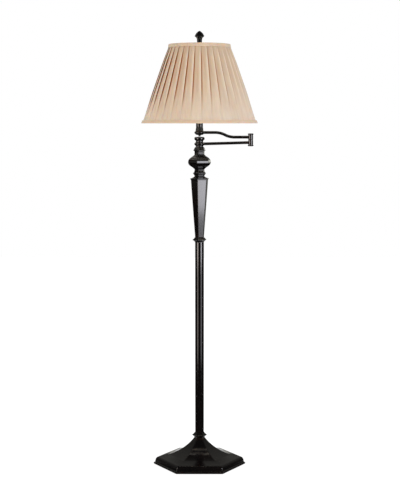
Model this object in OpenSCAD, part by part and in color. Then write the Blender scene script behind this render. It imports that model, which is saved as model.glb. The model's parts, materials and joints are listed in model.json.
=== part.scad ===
// Bridge floor lamp: a six-sided cast base and spindle on a round pole, a swing arm of two
// tubes that folds over the column, and a pleated shade held on a harp by a finial.
// Millimetres. Origin on the floor at the column axis, +Z up, front towards -Y.
// The folded arm reaches out to the elbow along +X.

/* [Base] */
// Corner radius of the base at its foot
base_r = 161; // [145:1:190]
// Height of the base casting above its pad
base_h = 93; // [75:1:120]
// Height of the lip round the foot
base_lip_h = 4; // [2:0.5:6]
// How far the side of the base stands in from the lip
base_lip_in = 5; // [3:0.5:8]
// Height of the side up to the rounded shoulder
base_side_h = 17.5; // [16:0.5:24]
// How far the rounded shoulder reaches in from the side
base_shoulder = 15; // [10:0.5:20]
// Corner radius at the top of the base
base_neck_r = 18.5; // [17:0.5:23]
// Wall thickness of the base casting
base_wall = 5; // [3:0.5:6]
// Radius of the round boss inside the base
base_boss_r = 15.5; // [14:0.5:17]
// Corner radius of the iron weight
weight_r = 108; // [80:1:115]
// Thickness of the iron weight
weight_h = 14; // [12:0.5:15]
// Thickness of the felt pad under the base
pad_t = 2; // [1:0.5:4]
// Radius of the cord hole in the back of the base
cord_hole_r = 3.8; // [3:0.1:3.8]

/* [Pole] */
// Outer radius of the pole tubes
pole_r = 15.2; // [13:0.1:18]
// Wall thickness of the pole tubes
pole_wall = 1.5; // [1:0.1:2.5]
// Length of each of the two pole tubes
tube_len = 333.5; // [250:0.5:400]
// Length of the plugs in the ends of the pole
plug_len = 22; // [15:1:40]
// Length of the coupler that joins the two tubes
coupler_len = 50; // [30:1:80]
// Height of the collar between base and pole
base_collar_h = 20; // [16:0.5:30]
// Corner radius of the base collar's sharp edge
base_collar_r = 26; // [22:0.5:34]
// Height of the collar between pole and vase
pole_collar_h = 18; // [14:0.5:30]
// Corner radius of the pole collar's sharp edge
pole_collar_r = 25.3; // [22:0.5:34]

/* [Spindle] */
// Height of the tapering vase with its flange
vase_h = 210; // [160:1:260]
// Corner radius of the vase at its foot
vase_foot_r = 16.2; // [14:0.2:20]
// Corner radius of the vase below its flange
vase_top_r = 31; // [26:0.5:40]
// Corner radius of the vase's flange
vase_flange_r = 34; // [30:0.5:44]
// Wall thickness of the hollow spindle castings
spindle_wall = 3; // [2:0.5:4]
// Corner radius of the spindle's necks
neck_r = 18.5; // [16:0.5:22]
// Height of the small ring above the vase
ring_h = 19; // [14:0.5:26]
// Corner radius of the small ring
ring_r = 23.6; // [20:0.2:28]
// Height of the faceted ball
ball_h = 61.5; // [50:0.5:80]
// Corner radius of the faceted ball
ball_r = 40.5; // [34:0.1:48]
// Height of the dome above the ball
dome_h = 20.5; // [16:0.5:28]
// Corner radius of the dome's rim
dome_r = 22.2; // [20:0.2:26]
// Turn of the spindle's six sides from those of the base, in degrees
spindle_turn = 18.4; // [0:0.1:60]

/* [Rod and pivot] */
// Outer radius of the threaded rods and nipples
rod_r = 5; // [4:0.1:5.5]
// Radius of the wire way through rods and nipples
rod_bore_r = 3.5; // [2:0.1:3.8]
// Outer radius of the sleeve that the arm turns on
sleeve_r = 7; // [6.2:0.1:7.5]
// Height of the arm's hub
hub_h = 15.4; // [13:0.1:22]
// Radius of the hub's bead
hub_r = 17.9; // [16:0.1:22]
// Radius of the hub's ends and of the thrust washers
hub_end_r = 13; // [12:0.1:15]
// Thickness of the thrust washers
washer_t = 1.2; // [0.8:0.1:2]
// Height of the cap on the column
cap_h = 15.2; // [12:0.1:22]
// Radius of the cap on the column
cap_r = 17.7; // [15:0.1:22]

/* [Swing arm] */
// Distance from the column axis to the elbow axis
arm_reach = 175.5; // [140:0.5:230]
// Outer radius of the arm tubes
arm_r = 5; // [4:0.1:5.2]
// Wall thickness of the arm tubes
arm_wall = 1.2; // [0.8:0.1:2]
// Rise of the lower arm from hub to elbow
arm_rise = 5; // [0:0.5:8]
// Distance from the column axis to the start of the upper arm's bend
bend_start = 54; // [40:1:75]
// Length of the upper arm's double bend
bend_run = 66; // [45:1:75]
// Radius of the elbow barrels
barrel_r = 8.5; // [7.8:0.1:10]
// Height of each elbow barrel
barrel_h = 17.4; // [15:0.1:24]
// Radius of the elbow's end caps
elbow_cap_r = 9.9; // [9:0.1:12]
// Height of the elbow's end caps
elbow_cap_h = 4.2; // [4:0.1:7]
// Radius of the elbow pin
pin_r = 4; // [3:0.1:4.2]
// Thickness of the friction washer in the elbow
friction_t = 0.8; // [0.5:0.1:1.5]

/* [Socket cup] */
// Room between the column cap and the button under the cup
cup_clear = 1.2; // [0.8:0.1:3]
// Height of the button under the cup
button_h = 5; // [3:0.1:7]
// Radius of the button under the cup
button_r = 3.9; // [3.6:0.1:5.5]
// Height of the socket cup
cup_h = 42; // [34:0.5:60]
// Radius of the socket cup's bead
cup_r = 17.9; // [16:0.1:22]
// Radius of the socket cup's neck
cup_neck_r = 11.9; // [11:0.1:14]
// Height of the arm tube's centre above the cup's foot
cup_arm_z = 8.7; // [8:0.1:12]

/* [Lampholder] */
// Outer radius of the socket shell
shell_r = 16.5; // [16.2:0.1:19]
// Height of the socket shell
shell_h = 52; // [48:0.5:70]
// Height of the socket cap
socket_cap_h = 15; // [12:0.5:20]
// Thickness of the socket's sheet brass
sheet_t = 0.6; // [0.4:0.1:0.8]
// Outer radius of the insulating liner
insulator_r = 15.6; // [15.4:0.1:15.6]
// Height of the moulded switch body
body_h = 22; // [18:0.5:28]
// Radius of the bulb's screw cap
bulb_cap_r = 13.3; // [12.5:0.1:13.3]
// Length of the bulb's screw cap
bulb_cap_h = 25; // [22:0.5:28]
// Largest radius of the bulb
bulb_r = 30; // [24:0.5:32]
// Length of the bulb's glass
bulb_h = 84; // [70:1:90]
// Wall thickness of the bulb's glass
glass_t = 1; // [0.5:0.1:1.5]
// Radius of the switch shaft
shaft_r = 2; // [1.5:0.1:2.2]
// Radius of the switch knob
knob_r = 6; // [5:0.1:8]
// Length of the switch knob
knob_len = 13; // [9:0.5:18]

/* [Harp] */
// Radius of the harp's wire
harp_wire_r = 1.75; // [1.4:0.05:2]
// Distance from the axis to each foot of the harp
harp_foot_x = 26; // [24:0.5:30]
// Distance from the axis to the harp's widest place
harp_wide_x = 55; // [48:0.5:62]
// Height of the harp from its feet to the top of its bow
harp_h = 236; // [225:1:270]
// Length of the straight foot of each leg
harp_leg_h = 24; // [22:0.5:30]
// Length of each leg's double bend
harp_bend_h = 54; // [40:1:60]
// Radius of the corners at the top of the harp
harp_corner_r = 44; // [30:1:46]
// Length of the sleeves that lock the harp to its saddle
lock_len = 16; // [12:0.5:18]
// Outer radius of the locking sleeves
lock_r = 3.4; // [3:0.1:4.5]
// Length of the threaded stud on the harp
stud_len = 12; // [8:0.5:14]
// Radius of the threaded stud on the harp
stud_r = 3.1; // [2.5:0.1:3.4]
// Thickness of the saddle's strip
saddle_t = 2; // [1.5:0.1:3]

/* [Shade] */
// Height of the shade
shade_h = 268; // [255:0.5:280]
// Outer radius of the shade at its top trim
shade_top_r = 105.5; // [95:0.1:125]
// Outer radius of the shade at its bottom edge
shade_bottom_r = 199.7; // [180:0.1:230]
// Number of pleats round the shade
pleats = 34; // [24:1:40]
// How far the pleats stand out from the liner near the top
pleat_stand_top = 4.8; // [4:0.1:7]
// How far the pleats stand out from the liner at the bottom
pleat_stand_bottom = 3.7; // [3:0.1:6]
// Thickness of the fabric at the foot of a pleat
fabric_t = 0.7; // [0.5:0.1:1]
// Thickness of the stiff liner
liner_t = 0.8; // [0.5:0.1:1.2]
// Height of the trim at the top edge
top_trim_h = 12; // [8:0.5:16]
// How much wider the top trim is at its lower edge
top_trim_flare = 1.7; // [0:0.1:4]
// Height of the trim at the bottom edge
bottom_trim_h = 10; // [6:0.5:16]
// Thickness of the trims
trim_t = 1; // [0.6:0.1:1.6]
// Radius of the frame's wires
frame_wire_r = 1.5; // [1:0.1:2]
// How far the fitter sits below the top ring
fitter_drop = 8.7; // [5:0.1:14]
// Radius of the fitter's centre plate
fitter_r = 11; // [9:0.5:14]
// Thickness of the fitter's centre plate
fitter_t = 1.6; // [1:0.1:2.5]

/* [Finial] */
// Height of the finial
finial_h = 55.5; // [45:0.5:75]
// Corner radius of the finial's widest place
finial_r = 16.2; // [13:0.1:20]
// Corner radius of the finial's neck
finial_neck_r = 8.8; // [7:0.1:10]

/* [Hidden] */
$fn = 48;

// Clearances
fit = 0.05;          // between a shaft or tube and its bore
thread_fit = 0.1;    // between a rod and the pieces threaded on it
loose = 0.2;         // between pieces that lie beside each other
end_play = 0.15;     // above and below a turning piece
cloth_gap = 0.3;     // between the liner and the cloth on it

// Heights up the stand
z_base = pad_t;
z_weight = z_base + 3;
z_weight_top = z_weight + weight_h;
recess_h = 9;
base_washer_t = 2;
base_nut_h = 6;
base_nut_r = 9;
base_washer_r = 12;
z_base_washer = z_weight + recess_h - base_washer_t;
z_base_collar = z_base + base_h;
z_pole = z_base_collar + base_collar_h;
z_joint = z_pole + tube_len;
z_pole_collar = z_joint + tube_len;
z_vase = z_pole_collar + pole_collar_h;
z_ring = z_vase + vase_h;
z_ball = z_ring + ring_h;
z_dome = z_ball + ball_h;
z_sleeve = z_dome + dome_h;
z_hub = z_sleeve + washer_t + end_play;
z_upper_washer = z_hub + hub_h + end_play;
z_cap = z_upper_washer + washer_t;
z_cap_top = z_cap + cap_h;
pole_bore_r = pole_r - pole_wall;
rod_in_cap = 0.6 * cap_h;

// Heights of the swing arm
z_hub_arm = z_hub + hub_h / 2;
arm_slope = atan(arm_rise / arm_reach);
z_lower_barrel = z_hub_arm + arm_rise - barrel_h / 2;
z_friction = z_lower_barrel + barrel_h;
z_upper_barrel = z_friction + friction_t + end_play;
z_elbow_top = z_upper_barrel + barrel_h;
z_elbow_arm = z_upper_barrel + barrel_h / 2;
pin_head_r = 6;
pin_head_h = 2.6;
z_button = z_cap_top + cup_clear;
z_cup = z_button + button_h;
z_cup_arm = z_cup + cup_arm_z;
z_cup_top = z_cup + cup_h;
bend_drop = z_cup_arm - z_elbow_arm;
arm_end_x = arm_reach - pin_r - 1.5;

// Heights inside the shade
saddle_w = 13;
saddle_tab_h = 6;
saddle_pin_h = 8;
z_socket = z_cup_top + saddle_t;
z_shell = z_socket + socket_cap_h - 4;
z_body = z_socket + sheet_t + loose;
z_switch = z_shell + 9;
z_screw = z_body + body_h + (z_shell - z_socket);
screw_shell_r = bulb_cap_r + loose + sheet_t;
screw_shell_h = bulb_cap_h;
z_bulb = z_screw + 2;
z_glass = z_bulb + bulb_cap_h;
z_saddle_tab = z_socket + saddle_tab_h;
z_harp = z_saddle_tab + saddle_pin_h + loose;
z_bow = z_harp + harp_h;
harp_plate_r = 7;
z_fitter = z_bow + harp_wire_r + loose;
z_finial = z_fitter + fitter_t;
z_ring_wire = z_finial + fitter_drop;
z_shade_top = z_ring_wire + frame_wire_r + loose;
z_shade = z_shade_top - shade_h;
knob_y = shell_r + 3;

// Radii of the shade, from its trims inwards
liner_top_r = shade_top_r - trim_t - loose - pleat_stand_top;
liner_bottom_r = shade_bottom_r - trim_t - loose - pleat_stand_bottom;
trim_slope = (shade_bottom_r - shade_top_r) / shade_h;

// ---- Curves ----

function mix(a, b, t) = a + (b - a) * t;

// Points of the curve that leaves a towards m and reaches b from m
function bend_pts(a, m, b, n = 8) =
    [for (i = [0:n]) let (t = i / n) mix(mix(a, m, t), mix(m, b, t), t)];

// The same curve moved sideways by d, to its right
function offset_bend_pts(a, m, b, d, n = 8) =
    [for (i = [0:n]) let (t = i / n, s = mix(m - a, b - m, t), u = s / norm(s))
        mix(mix(a, m, t), mix(m, b, t), t) + d * [u[1], -u[0]]];

// Points of an ellipse's arc, from angle a0 to a1
function arc_pts(centre, rx, rz, a0, a1, n = 10) =
    [for (i = [0:n]) let (a = mix(a0, a1, i / n)) centre + [rx * cos(a), rz * sin(a)]];

// A bead of height h on a neck of radius r, up to radius peak
function bead_pts(r, peak, z, h, n = 8) =
    [for (i = [0:n]) [r + (peak - r) * sin(180 * i / n), z + h * i / n]];

// ---- Shared shapes ----

module six_sided(profile) rotate_extrude($fn = 6) polygon(profile);

module turned(profile) rotate_extrude() polygon(profile);

module tube(r_out, r_in, h) {
    difference() {
        cylinder(r = r_out, h = h);
        translate([0, 0, -1]) cylinder(r = r_in, h = h + 2);
    }
}

module bore(r, z, h) translate([0, 0, z]) cylinder(r = r, h = h);

module wire_section(r_out, r_in) {
    difference() {
        circle(r = r_out);
        if (r_in > 0) circle(r = r_in);
    }
}

// Straight tube along +X from x0 to x1
module tube_x(x0, x1, r_out, r_in = 0) {
    translate([x0, 0, 0]) rotate([90, 0, 90]) linear_extrude(x1 - x0) wire_section(r_out, r_in);
}

// Path in the XZ plane, as [x, z, heading], of a double bend: it heads along +X, shifts
// down by drop over its run in two equal arcs, and heads along +X again
function double_bend(run, drop, n = 7) =
    let (sweep = 2 * atan(drop / run), r = run / (2 * sin(sweep)))
    concat(
        [for (i = [0:n]) let (a = sweep * i / n) [r * sin(a), -r * (1 - cos(a)), -a]],
        [for (i = [1:n]) let (a = sweep * (1 - i / n))
            [run - r * sin(a), r * (1 - cos(a)) - drop, -a]]);

// Path points of a quarter turn to the right of radius r, from heading up to heading along +X
function quarter_turn(r, n = 7) =
    [for (i = [0:n]) let (a = 90 * i / n) [r * (1 - cos(a)), r * sin(a), 90 - a]];

// A path moved by [x, z], and a path turned from heading along +X to heading up
function moved(path, x, z) = [for (p = path) [p[0] + x, p[1] + z, p[2]]];
function turned_up(path) = [for (p = path) [-p[1], p[0], 90 + p[2]]];

// Rings of points round a path, and the faces between two rings of a tube's wall
function path_rings(path, r, sides) = [for (p = path, k = [0:sides - 1]) let (a = 360 * k / sides)
    [p[0] - r * cos(a) * sin(p[2]), -r * sin(a), p[1] + r * cos(a) * cos(p[2])]];
function band_faces(first, second, sides) = [for (k = [0:sides - 1])
    let (l = (k + 1) % sides, a = first + k, b = first + l, c = second + l, d = second + k)
    each [[a, c, b], [a, d, c]]];

// Wire or tube along a path in the XZ plane
module swept(path, r_out, r_in = 0, sides = 12) {
    last = len(path) - 1;
    inner = len(path) * sides;
    outside = [for (i = [0:last - 1]) each band_faces(i * sides, (i + 1) * sides, sides)];
    if (r_in > 0) {
        inside = [for (i = [0:last - 1])
            each band_faces(inner + (i + 1) * sides, inner + i * sides, sides)];
        polyhedron(concat(path_rings(path, r_out, sides), path_rings(path, r_in, sides)),
            concat(outside, inside, band_faces(inner, 0, sides),
                band_faces(last * sides, inner + last * sides, sides)), convexity = 6);
    } else {
        ends = [[for (k = [0:sides - 1]) k], [for (k = [sides - 1:-1:0]) last * sides + k]];
        polyhedron(path_rings(path, r_out, sides), concat(outside, ends), convexity = 6);
    }
}

// Six-sided collar with one sharp edge all round
module sharp_collar(foot_r, edge_r, top_r, foot_h, h) {
    edge_z = 0.45 * h;
    difference() {
        six_sided([[0, 0], [foot_r, 0], [foot_r, foot_h], [edge_r, edge_z],
            [edge_r, edge_z + 0.8], [top_r, h], [0, h]]);
        bore(rod_r + thread_fit, -1, h + 2);
    }
}

// ---- Base ----

base_side_r = base_r - base_lip_in;
base_rim = [base_side_r - base_shoulder, base_side_h + 7];
base_neck = [base_neck_r, base_h];
base_flare = [mix(base_neck_r, base_rim[0], 0.35), mix(base_rim[1], base_h, 0.2)];

module base_pad() {
    color("#2b2a29") difference() {
        cylinder(r = base_r - 3, h = pad_t, $fn = 6);
        bore(30, -1, pad_t + 2);
    }
}

module base_casting() {
    outside = concat([[0, 0], [base_r, 0], [base_r, base_lip_h]],
        bend_pts([base_side_r, base_lip_h + 2], [base_side_r - 1, base_rim[1]], base_rim, 6),
        bend_pts(base_rim, base_flare, base_neck, 14), [[0, base_h]]);
    inside = concat([[0, -1], [base_side_r - base_wall, -1],
            [base_side_r - base_wall, base_side_h - 2], [base_side_r - 2 * base_wall, base_side_h + 1]],
        offset_bend_pts(base_rim, base_flare, base_neck, -base_wall, 10), [[0, base_h - 8]]);
    boss_foot = z_weight_top - z_base;
    color("#17120f") translate([0, 0, z_base]) difference() {
        six_sided(outside);
        difference() {
            six_sided(inside);
            bore(base_boss_r, boss_foot, base_h);
        }
        bore(rod_r + thread_fit, -1, base_h + 2);
        translate([0, 0, cord_z]) rotate([-90, 0, 0]) cylinder(r = cord_hole_r, h = base_r);
    }
}

module base_weight() {
    color("#3a3a3c") translate([0, 0, z_weight]) difference() {
        cylinder(r = weight_r, h = weight_h, $fn = 6);
        bore(rod_r + thread_fit, -1, weight_h + 2);
        bore(base_washer_r + 1, -1, recess_h + 1);
    }
}

module base_washer() {
    color("silver") translate([0, 0, z_base_washer])
        tube(base_washer_r, rod_r + thread_fit, base_washer_t);
}

module base_nut() {
    color("silver") translate([0, 0, z_base_washer - base_nut_h]) difference() {
        cylinder(r = base_nut_r, h = base_nut_h, $fn = 6);
        bore(rod_r + thread_fit, -1, base_nut_h + 2);
    }
}

module base_nipple() {
    color("silver") translate([0, 0, z_weight])
        tube(rod_r, rod_bore_r, z_pole + plug_len - 3 - z_weight);
}

// The bushing lines the cord hole in the middle of the rear face
cord_z = base_side_h - cord_hole_r - 4;

module cord_bushing() {
    outer_y = cos(30) * base_side_r + loose;
    wall = outer_y - cos(30) * (base_side_r - base_wall);
    flange_t = 1.6;
    color("#111111") translate([0, outer_y, z_base + cord_z]) rotate([90, 0, 0]) difference() {
        union() {
            cylinder(r = cord_hole_r - fit, h = wall + flange_t);
            translate([0, 0, wall + loose]) cylinder(r = cord_hole_r + 1, h = flange_t - loose);
        }
        bore(cord_hole_r - 1.2, -1, wall + flange_t + 2);
    }
}

module base_collar() {
    color("#17120f") translate([0, 0, z_base_collar])
        sharp_collar(base_neck_r, base_collar_r, pole_r + 0.7, 2.5, base_collar_h);
}

// ---- Pole ----

module pole_plug(z) {
    color("silver") translate([0, 0, z]) tube(pole_bore_r - fit, rod_r + thread_fit, plug_len);
}

module lower_pole_plug() pole_plug(z_pole);

module upper_pole_plug() pole_plug(z_pole_collar - plug_len);

module pole_tube(z) {
    color("#17120f") translate([0, 0, z]) tube(pole_r, pole_bore_r, tube_len);
}

module lower_pole() pole_tube(z_pole);

module upper_pole() pole_tube(z_joint);

module pole_coupler() {
    color("silver") translate([0, 0, z_joint - coupler_len / 2])
        tube(pole_bore_r - fit, rod_r + 2, coupler_len);
}

module pole_collar() {
    color("#17120f") translate([0, 0, z_pole_collar]) rotate([0, 0, spindle_turn])
        sharp_collar(pole_r + 1, pole_collar_r, vase_foot_r, 0.5, pole_collar_h);
}

// ---- Spindle ----

// Hollow six-sided casting: an outer profile, a cavity and a bore for the rod
module spindle_casting(z, h, outside, cavity = []) {
    color("#17120f") translate([0, 0, z]) rotate([0, 0, spindle_turn]) difference() {
        six_sided(outside);
        if (len(cavity) > 0) six_sided(cavity);
        bore(rod_r + thread_fit, -1, h + 2);
    }
}

module vase() {
    shoulder_z = vase_h - 17;
    flange_z = vase_h - 10.5;
    swell = mix([vase_foot_r, 0], [vase_top_r, shoulder_z], 0.5) + [0.4, 0];
    outside = concat([[0, 0]],
        bend_pts([vase_foot_r, 0], swell, [vase_top_r, shoulder_z], 6),
        bend_pts([vase_top_r + 0.2, shoulder_z + 2], [vase_top_r + 0.3, flange_z - 0.5],
            [vase_flange_r, flange_z], 4),
        [[vase_flange_r, flange_z + 2.8]],
        bend_pts([vase_flange_r - 0.8, flange_z + 3.6], [neck_r + 2, vase_h - 6.5],
            [neck_r + 0.5, vase_h], 5),
        [[0, vase_h]]);
    cavity = [[0, 14], [vase_foot_r - spindle_wall, 14],
        [vase_top_r - spindle_wall, shoulder_z - 4], [0, shoulder_z - 4]];
    spindle_casting(z_vase, vase_h, outside, cavity);
}

module spindle_ring() {
    outside = concat([[0, 0], [neck_r + 0.5, 0]],
        bead_pts(neck_r, ring_r, 3.2, ring_h - 8.4),
        [[neck_r, ring_h], [0, ring_h]]);
    spindle_casting(z_ring, ring_h, outside);
}

module spindle_ball() {
    mid = [0, 0.475 * ball_h];
    low_h = mid[1] - 6.7;
    high_h = ball_h - mid[1] - 8.3;
    cut = 50;
    outside = concat([[0, 0], [neck_r - 0.3, 0]],
        bend_pts([neck_r - 0.3, 2.5], [neck_r + 1.5, 7], [ball_r * 0.6, mid[1] - low_h * 0.835], 4),
        arc_pts(mid, ball_r, low_h, -cut, 0, 7),
        arc_pts(mid, ball_r, high_h, 8, cut, 6),
        bend_pts([ball_r * 0.585, mid[1] + high_h * 0.84], [neck_r + 0.9, ball_h - 9],
            [neck_r - 0.5, ball_h - 3], 4),
        [[neck_r - 0.5, ball_h], [0, ball_h]]);
    cavity = concat([[0, mid[1] - low_h + 6]],
        arc_pts(mid, ball_r - spindle_wall, low_h - spindle_wall, -cut, cut, 8),
        [[0, mid[1] + low_h - 6]]);
    spindle_casting(z_ball, ball_h, outside, cavity);
}

module spindle_dome() {
    outside = concat([[0, 0], [neck_r - 0.5, 0]],
        bend_pts([neck_r - 0.5, 2.5], [neck_r, 5.5], [dome_r, 6.5], 4),
        [[dome_r, 9]],
        bend_pts([dome_r - 0.6, 10.5], [dome_r - 3.5, dome_h - 3], [hub_end_r + 0.4, dome_h], 6),
        [[0, dome_h]]);
    spindle_casting(z_dome, dome_h, outside);
}

module column_rod() {
    foot = z_pole_collar - plug_len + 2;
    color("silver") translate([0, 0, foot]) tube(rod_r, rod_bore_r, z_cap + rod_in_cap - foot);
}

// ---- Column top ----

module pivot_sleeve() {
    color("#b08d57") translate([0, 0, z_sleeve])
        tube(sleeve_r, rod_r + thread_fit, z_cap - z_sleeve);
}

module thrust_washer(z) {
    color("#1c1c1c") translate([0, 0, z]) tube(hub_end_r - 0.5, sleeve_r + fit, washer_t);
}

module lower_thrust_washer() thrust_washer(z_sleeve);

module upper_thrust_washer() thrust_washer(z_upper_washer);

module column_cap() {
    profile = concat([[0, 0], [hub_end_r - 0.8, 0], [hub_end_r - 0.8, 1.5]],
        bend_pts([hub_end_r - 0.3, 2.2], [cap_r - 1, cap_h * 0.3], [cap_r, cap_h * 0.5], 5),
        bend_pts([cap_r, cap_h * 0.7], [cap_r - 0.5, cap_h - 1], [cap_r - 4, cap_h], 5),
        [[0, cap_h]]);
    color("#17120f") translate([0, 0, z_cap]) difference() {
        turned(profile);
        bore(rod_r + thread_fit, -1, rod_in_cap + 1 + loose);
    }
}

// ---- Lower arm ----

// Places a child along the lower arm's slope, with +X towards the elbow
module along_lower_arm() {
    translate([0, 0, z_hub_arm]) rotate([0, -arm_slope, 0]) children();
}

hub_socket_x = sleeve_r + 2.5;

module arm_hub() {
    profile = concat([[0, 0], [hub_end_r, 0]],
        bead_pts(hub_end_r, hub_r, 1.5, hub_h - 3, 10),
        [[hub_end_r, hub_h], [0, hub_h]]);
    color("#17120f") difference() {
        translate([0, 0, z_hub]) turned(profile);
        bore(sleeve_r + fit, z_hub - 1, hub_h + 2);
        along_lower_arm() tube_x(hub_socket_x, hub_r + 5, arm_r + fit);
    }
}

module lower_arm_tube() {
    color("#17120f") along_lower_arm()
        tube_x(hub_socket_x + loose, (arm_end_x - loose) / cos(arm_slope), arm_r, arm_r - arm_wall);
}

module elbow_barrel(z) {
    translate([arm_reach, 0, z]) difference() {
        turned(concat([[0, 0], [barrel_r, 0]],
            bead_pts(barrel_r - 0.3, barrel_r, 1, barrel_h - 2, 6),
            [[barrel_r, barrel_h], [0, barrel_h]]));
        bore(pin_r + fit, -1, barrel_h + 2);
    }
}

module elbow_lower_barrel() {
    color("#17120f") difference() {
        elbow_barrel(z_lower_barrel);
        along_lower_arm() tube_x(arm_reach - barrel_r - 4, arm_end_x / cos(arm_slope), arm_r + fit);
    }
}

// The pin has its head inside the bottom cap and is turned down for the nut at its top
module elbow_pin() {
    color("silver") translate([arm_reach, 0, z_lower_barrel]) {
        translate([0, 0, -pin_head_h]) cylinder(r = pin_head_r, h = pin_head_h);
        cylinder(r = pin_r, h = z_elbow_top - z_lower_barrel + pin_head_h + end_play);
    }
}

module elbow_washer() {
    color("#1c1c1c") translate([arm_reach, 0, z_friction]) tube(barrel_r - 0.4, pin_r + fit, friction_t);
}

module elbow_nut() {
    color("silver") translate([arm_reach, 0, z_elbow_top + end_play])
        tube(pin_head_r - 0.2, pin_r, pin_head_h - 0.2);
}

// Domed cap with a recess for the pin's head or nut, its open side at z = 0
module elbow_cap() {
    difference() {
        turned(concat([[0, 0], [elbow_cap_r - 0.4, 0], [elbow_cap_r, 0.6], [elbow_cap_r, 1.8]],
            bend_pts([elbow_cap_r - 0.3, 2.2], [elbow_cap_r - 1.5, elbow_cap_h],
                [elbow_cap_r * 0.5, elbow_cap_h], 5),
            [[0, elbow_cap_h]]));
        bore(pin_head_r + loose, -1, pin_head_h + 1 + 2 * loose);
    }
}

module elbow_bottom_cap() {
    color("#17120f") translate([arm_reach, 0, z_lower_barrel]) mirror([0, 0, 1]) elbow_cap();
}

// ---- Upper arm ----

module elbow_upper_barrel() {
    color("#17120f") difference() {
        elbow_barrel(z_upper_barrel);
        translate([0, 0, z_elbow_arm]) tube_x(arm_reach - barrel_r - 4, arm_end_x, arm_r + fit);
    }
}

module elbow_top_cap() {
    color("#17120f") translate([arm_reach, 0, z_elbow_top]) elbow_cap();
}

cup_socket_x = rod_r + 3;

module upper_arm_tube() {
    path = concat([[cup_socket_x + loose, z_cup_arm, 0]],
        moved(double_bend(bend_run, bend_drop), bend_start, z_cup_arm),
        [[arm_end_x - loose, z_elbow_arm, 0]]);
    color("#17120f") swept(path, arm_r, arm_r - arm_wall, 24);
}

module socket_cup() {
    waist_z = 16.5;
    profile = concat([[0, 0]],
        bend_pts([8.5, 0], [13, 1], [cup_r - 1.6, 6], 5),
        bend_pts([cup_r, 7.5], [cup_r + 0.3, 10.5], [cup_r - 2, 12], 4),
        bend_pts([cup_neck_r + 2.2, 13.5], [cup_neck_r + 1, waist_z], [cup_neck_r + 0.9, 22], 4),
        [[cup_neck_r, 27], [cup_neck_r, cup_h], [0, cup_h]]);
    color("#17120f") translate([0, 0, z_cup]) difference() {
        turned(profile);
        bore(rod_r + thread_fit, -1, cup_h + 2);
        translate([0, 0, cup_arm_z]) tube_x(cup_socket_x, cup_r + 5, arm_r + fit);
    }
}

// Small turned button that closes the nipple under the cup
module cup_button() {
    color("#17120f") translate([0, 0, z_button]) {
        turned([[0, 0], [button_r - 1, 0], [button_r, 1], [button_r, button_h], [0, button_h]]);
        translate([0, 0, button_h]) cylinder(r = rod_bore_r - thread_fit, h = 6);
    }
}

module socket_nipple() {
    color("silver") translate([0, 0, z_cup + 0.5])
        tube(rod_r, rod_bore_r, z_socket + 7 - z_cup - 0.5);
}

// ---- Lampholder ----

module harp_saddle() {
    color("#8a6d3b") {
        translate([0, 0, z_cup_top]) difference() {
            translate([-harp_foot_x - 3, -saddle_w / 2, 0])
                cube([2 * harp_foot_x + 6, saddle_w, saddle_t]);
            bore(rod_r + thread_fit, -1, saddle_t + 2);
        }
        for (side = [-1, 1]) translate([side * harp_foot_x, 0, 0]) {
            translate([-3, -4, z_cup_top]) cube([6, 8, saddle_t + saddle_tab_h]);
            bore(harp_wire_r, z_saddle_tab - 1, saddle_pin_h + 1);
        }
    }
}

module socket_cap() {
    rim_r = shell_r + sheet_t + loose;
    color("#8a6d3b") translate([0, 0, z_socket]) difference() {
        turned(concat([[0, 0], [rod_r + 4, 0]],
            bend_pts([rod_r + 4.5, 0.3], [rim_r, 1.5], [rim_r, 9], 5),
            [[rim_r, socket_cap_h], [0, socket_cap_h]]));
        turned(concat([[0, sheet_t], [rod_r + 4, sheet_t]],
            bend_pts([rod_r + 4.5, sheet_t + 0.3], [rim_r - sheet_t, sheet_t + 1.5],
                [rim_r - sheet_t, 9], 5),
            [[rim_r - sheet_t, socket_cap_h + 1], [0, socket_cap_h + 1]]));
        bore(rod_r + thread_fit, -1, 4);
    }
}

// Cuts the hole for the switch's boss out of a child
module with_switch_hole(r) {
    difference() {
        children();
        translate([0, 0, z_switch]) rotate([90, 0, 0]) cylinder(r = r, h = 30);
    }
}

boss_r = 3.6;

module socket_shell() {
    inside_r = shell_r - sheet_t;
    color("#8a6d3b") with_switch_hole(boss_r + loose) translate([0, 0, z_shell])
        turned([[inside_r, 0], [shell_r, 0], [shell_r, shell_h - 1.5], [shell_r + 0.5, shell_h - 1],
            [shell_r + 0.5, shell_h], [inside_r, shell_h]]);
}

module socket_insulator() {
    color("#c9a227") with_switch_hole(boss_r + loose) translate([0, 0, z_shell])
        tube(insulator_r, screw_shell_r + loose, shell_h - 2);
}

module socket_body() {
    body_r = screw_shell_r - 0.1;
    color("#1c1c1c") difference() {
        union() {
            translate([0, 0, z_body + 6]) cylinder(r = body_r, h = z_screw - z_body - 6);
            translate([0, 0, z_switch]) rotate([90, 0, 0]) cylinder(r = boss_r, h = shell_r + 1.8);
        }
        translate([0, 0, z_switch]) rotate([90, 0, 0]) cylinder(r = shaft_r + fit, h = 30);
        bore(rod_r + 1.5, z_body, 9 - sheet_t);
    }
}

module screw_shell() {
    color("#b08d57") translate([0, 0, z_screw])
        tube(screw_shell_r, screw_shell_r - sheet_t + 0.1, screw_shell_h);
}

module centre_contact() {
    color("#b08d57") translate([0, 0, z_screw]) cylinder(r = 4, h = z_bulb - z_screw - loose);
}

module bulb_cap() {
    color("silver") translate([0, 0, z_bulb])
        turned([[0, 0], [4.5, 0], [5.5, 1], [bulb_cap_r - 1, 5], [bulb_cap_r, 6],
            [bulb_cap_r, bulb_cap_h], [0, bulb_cap_h]]);
}

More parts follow.
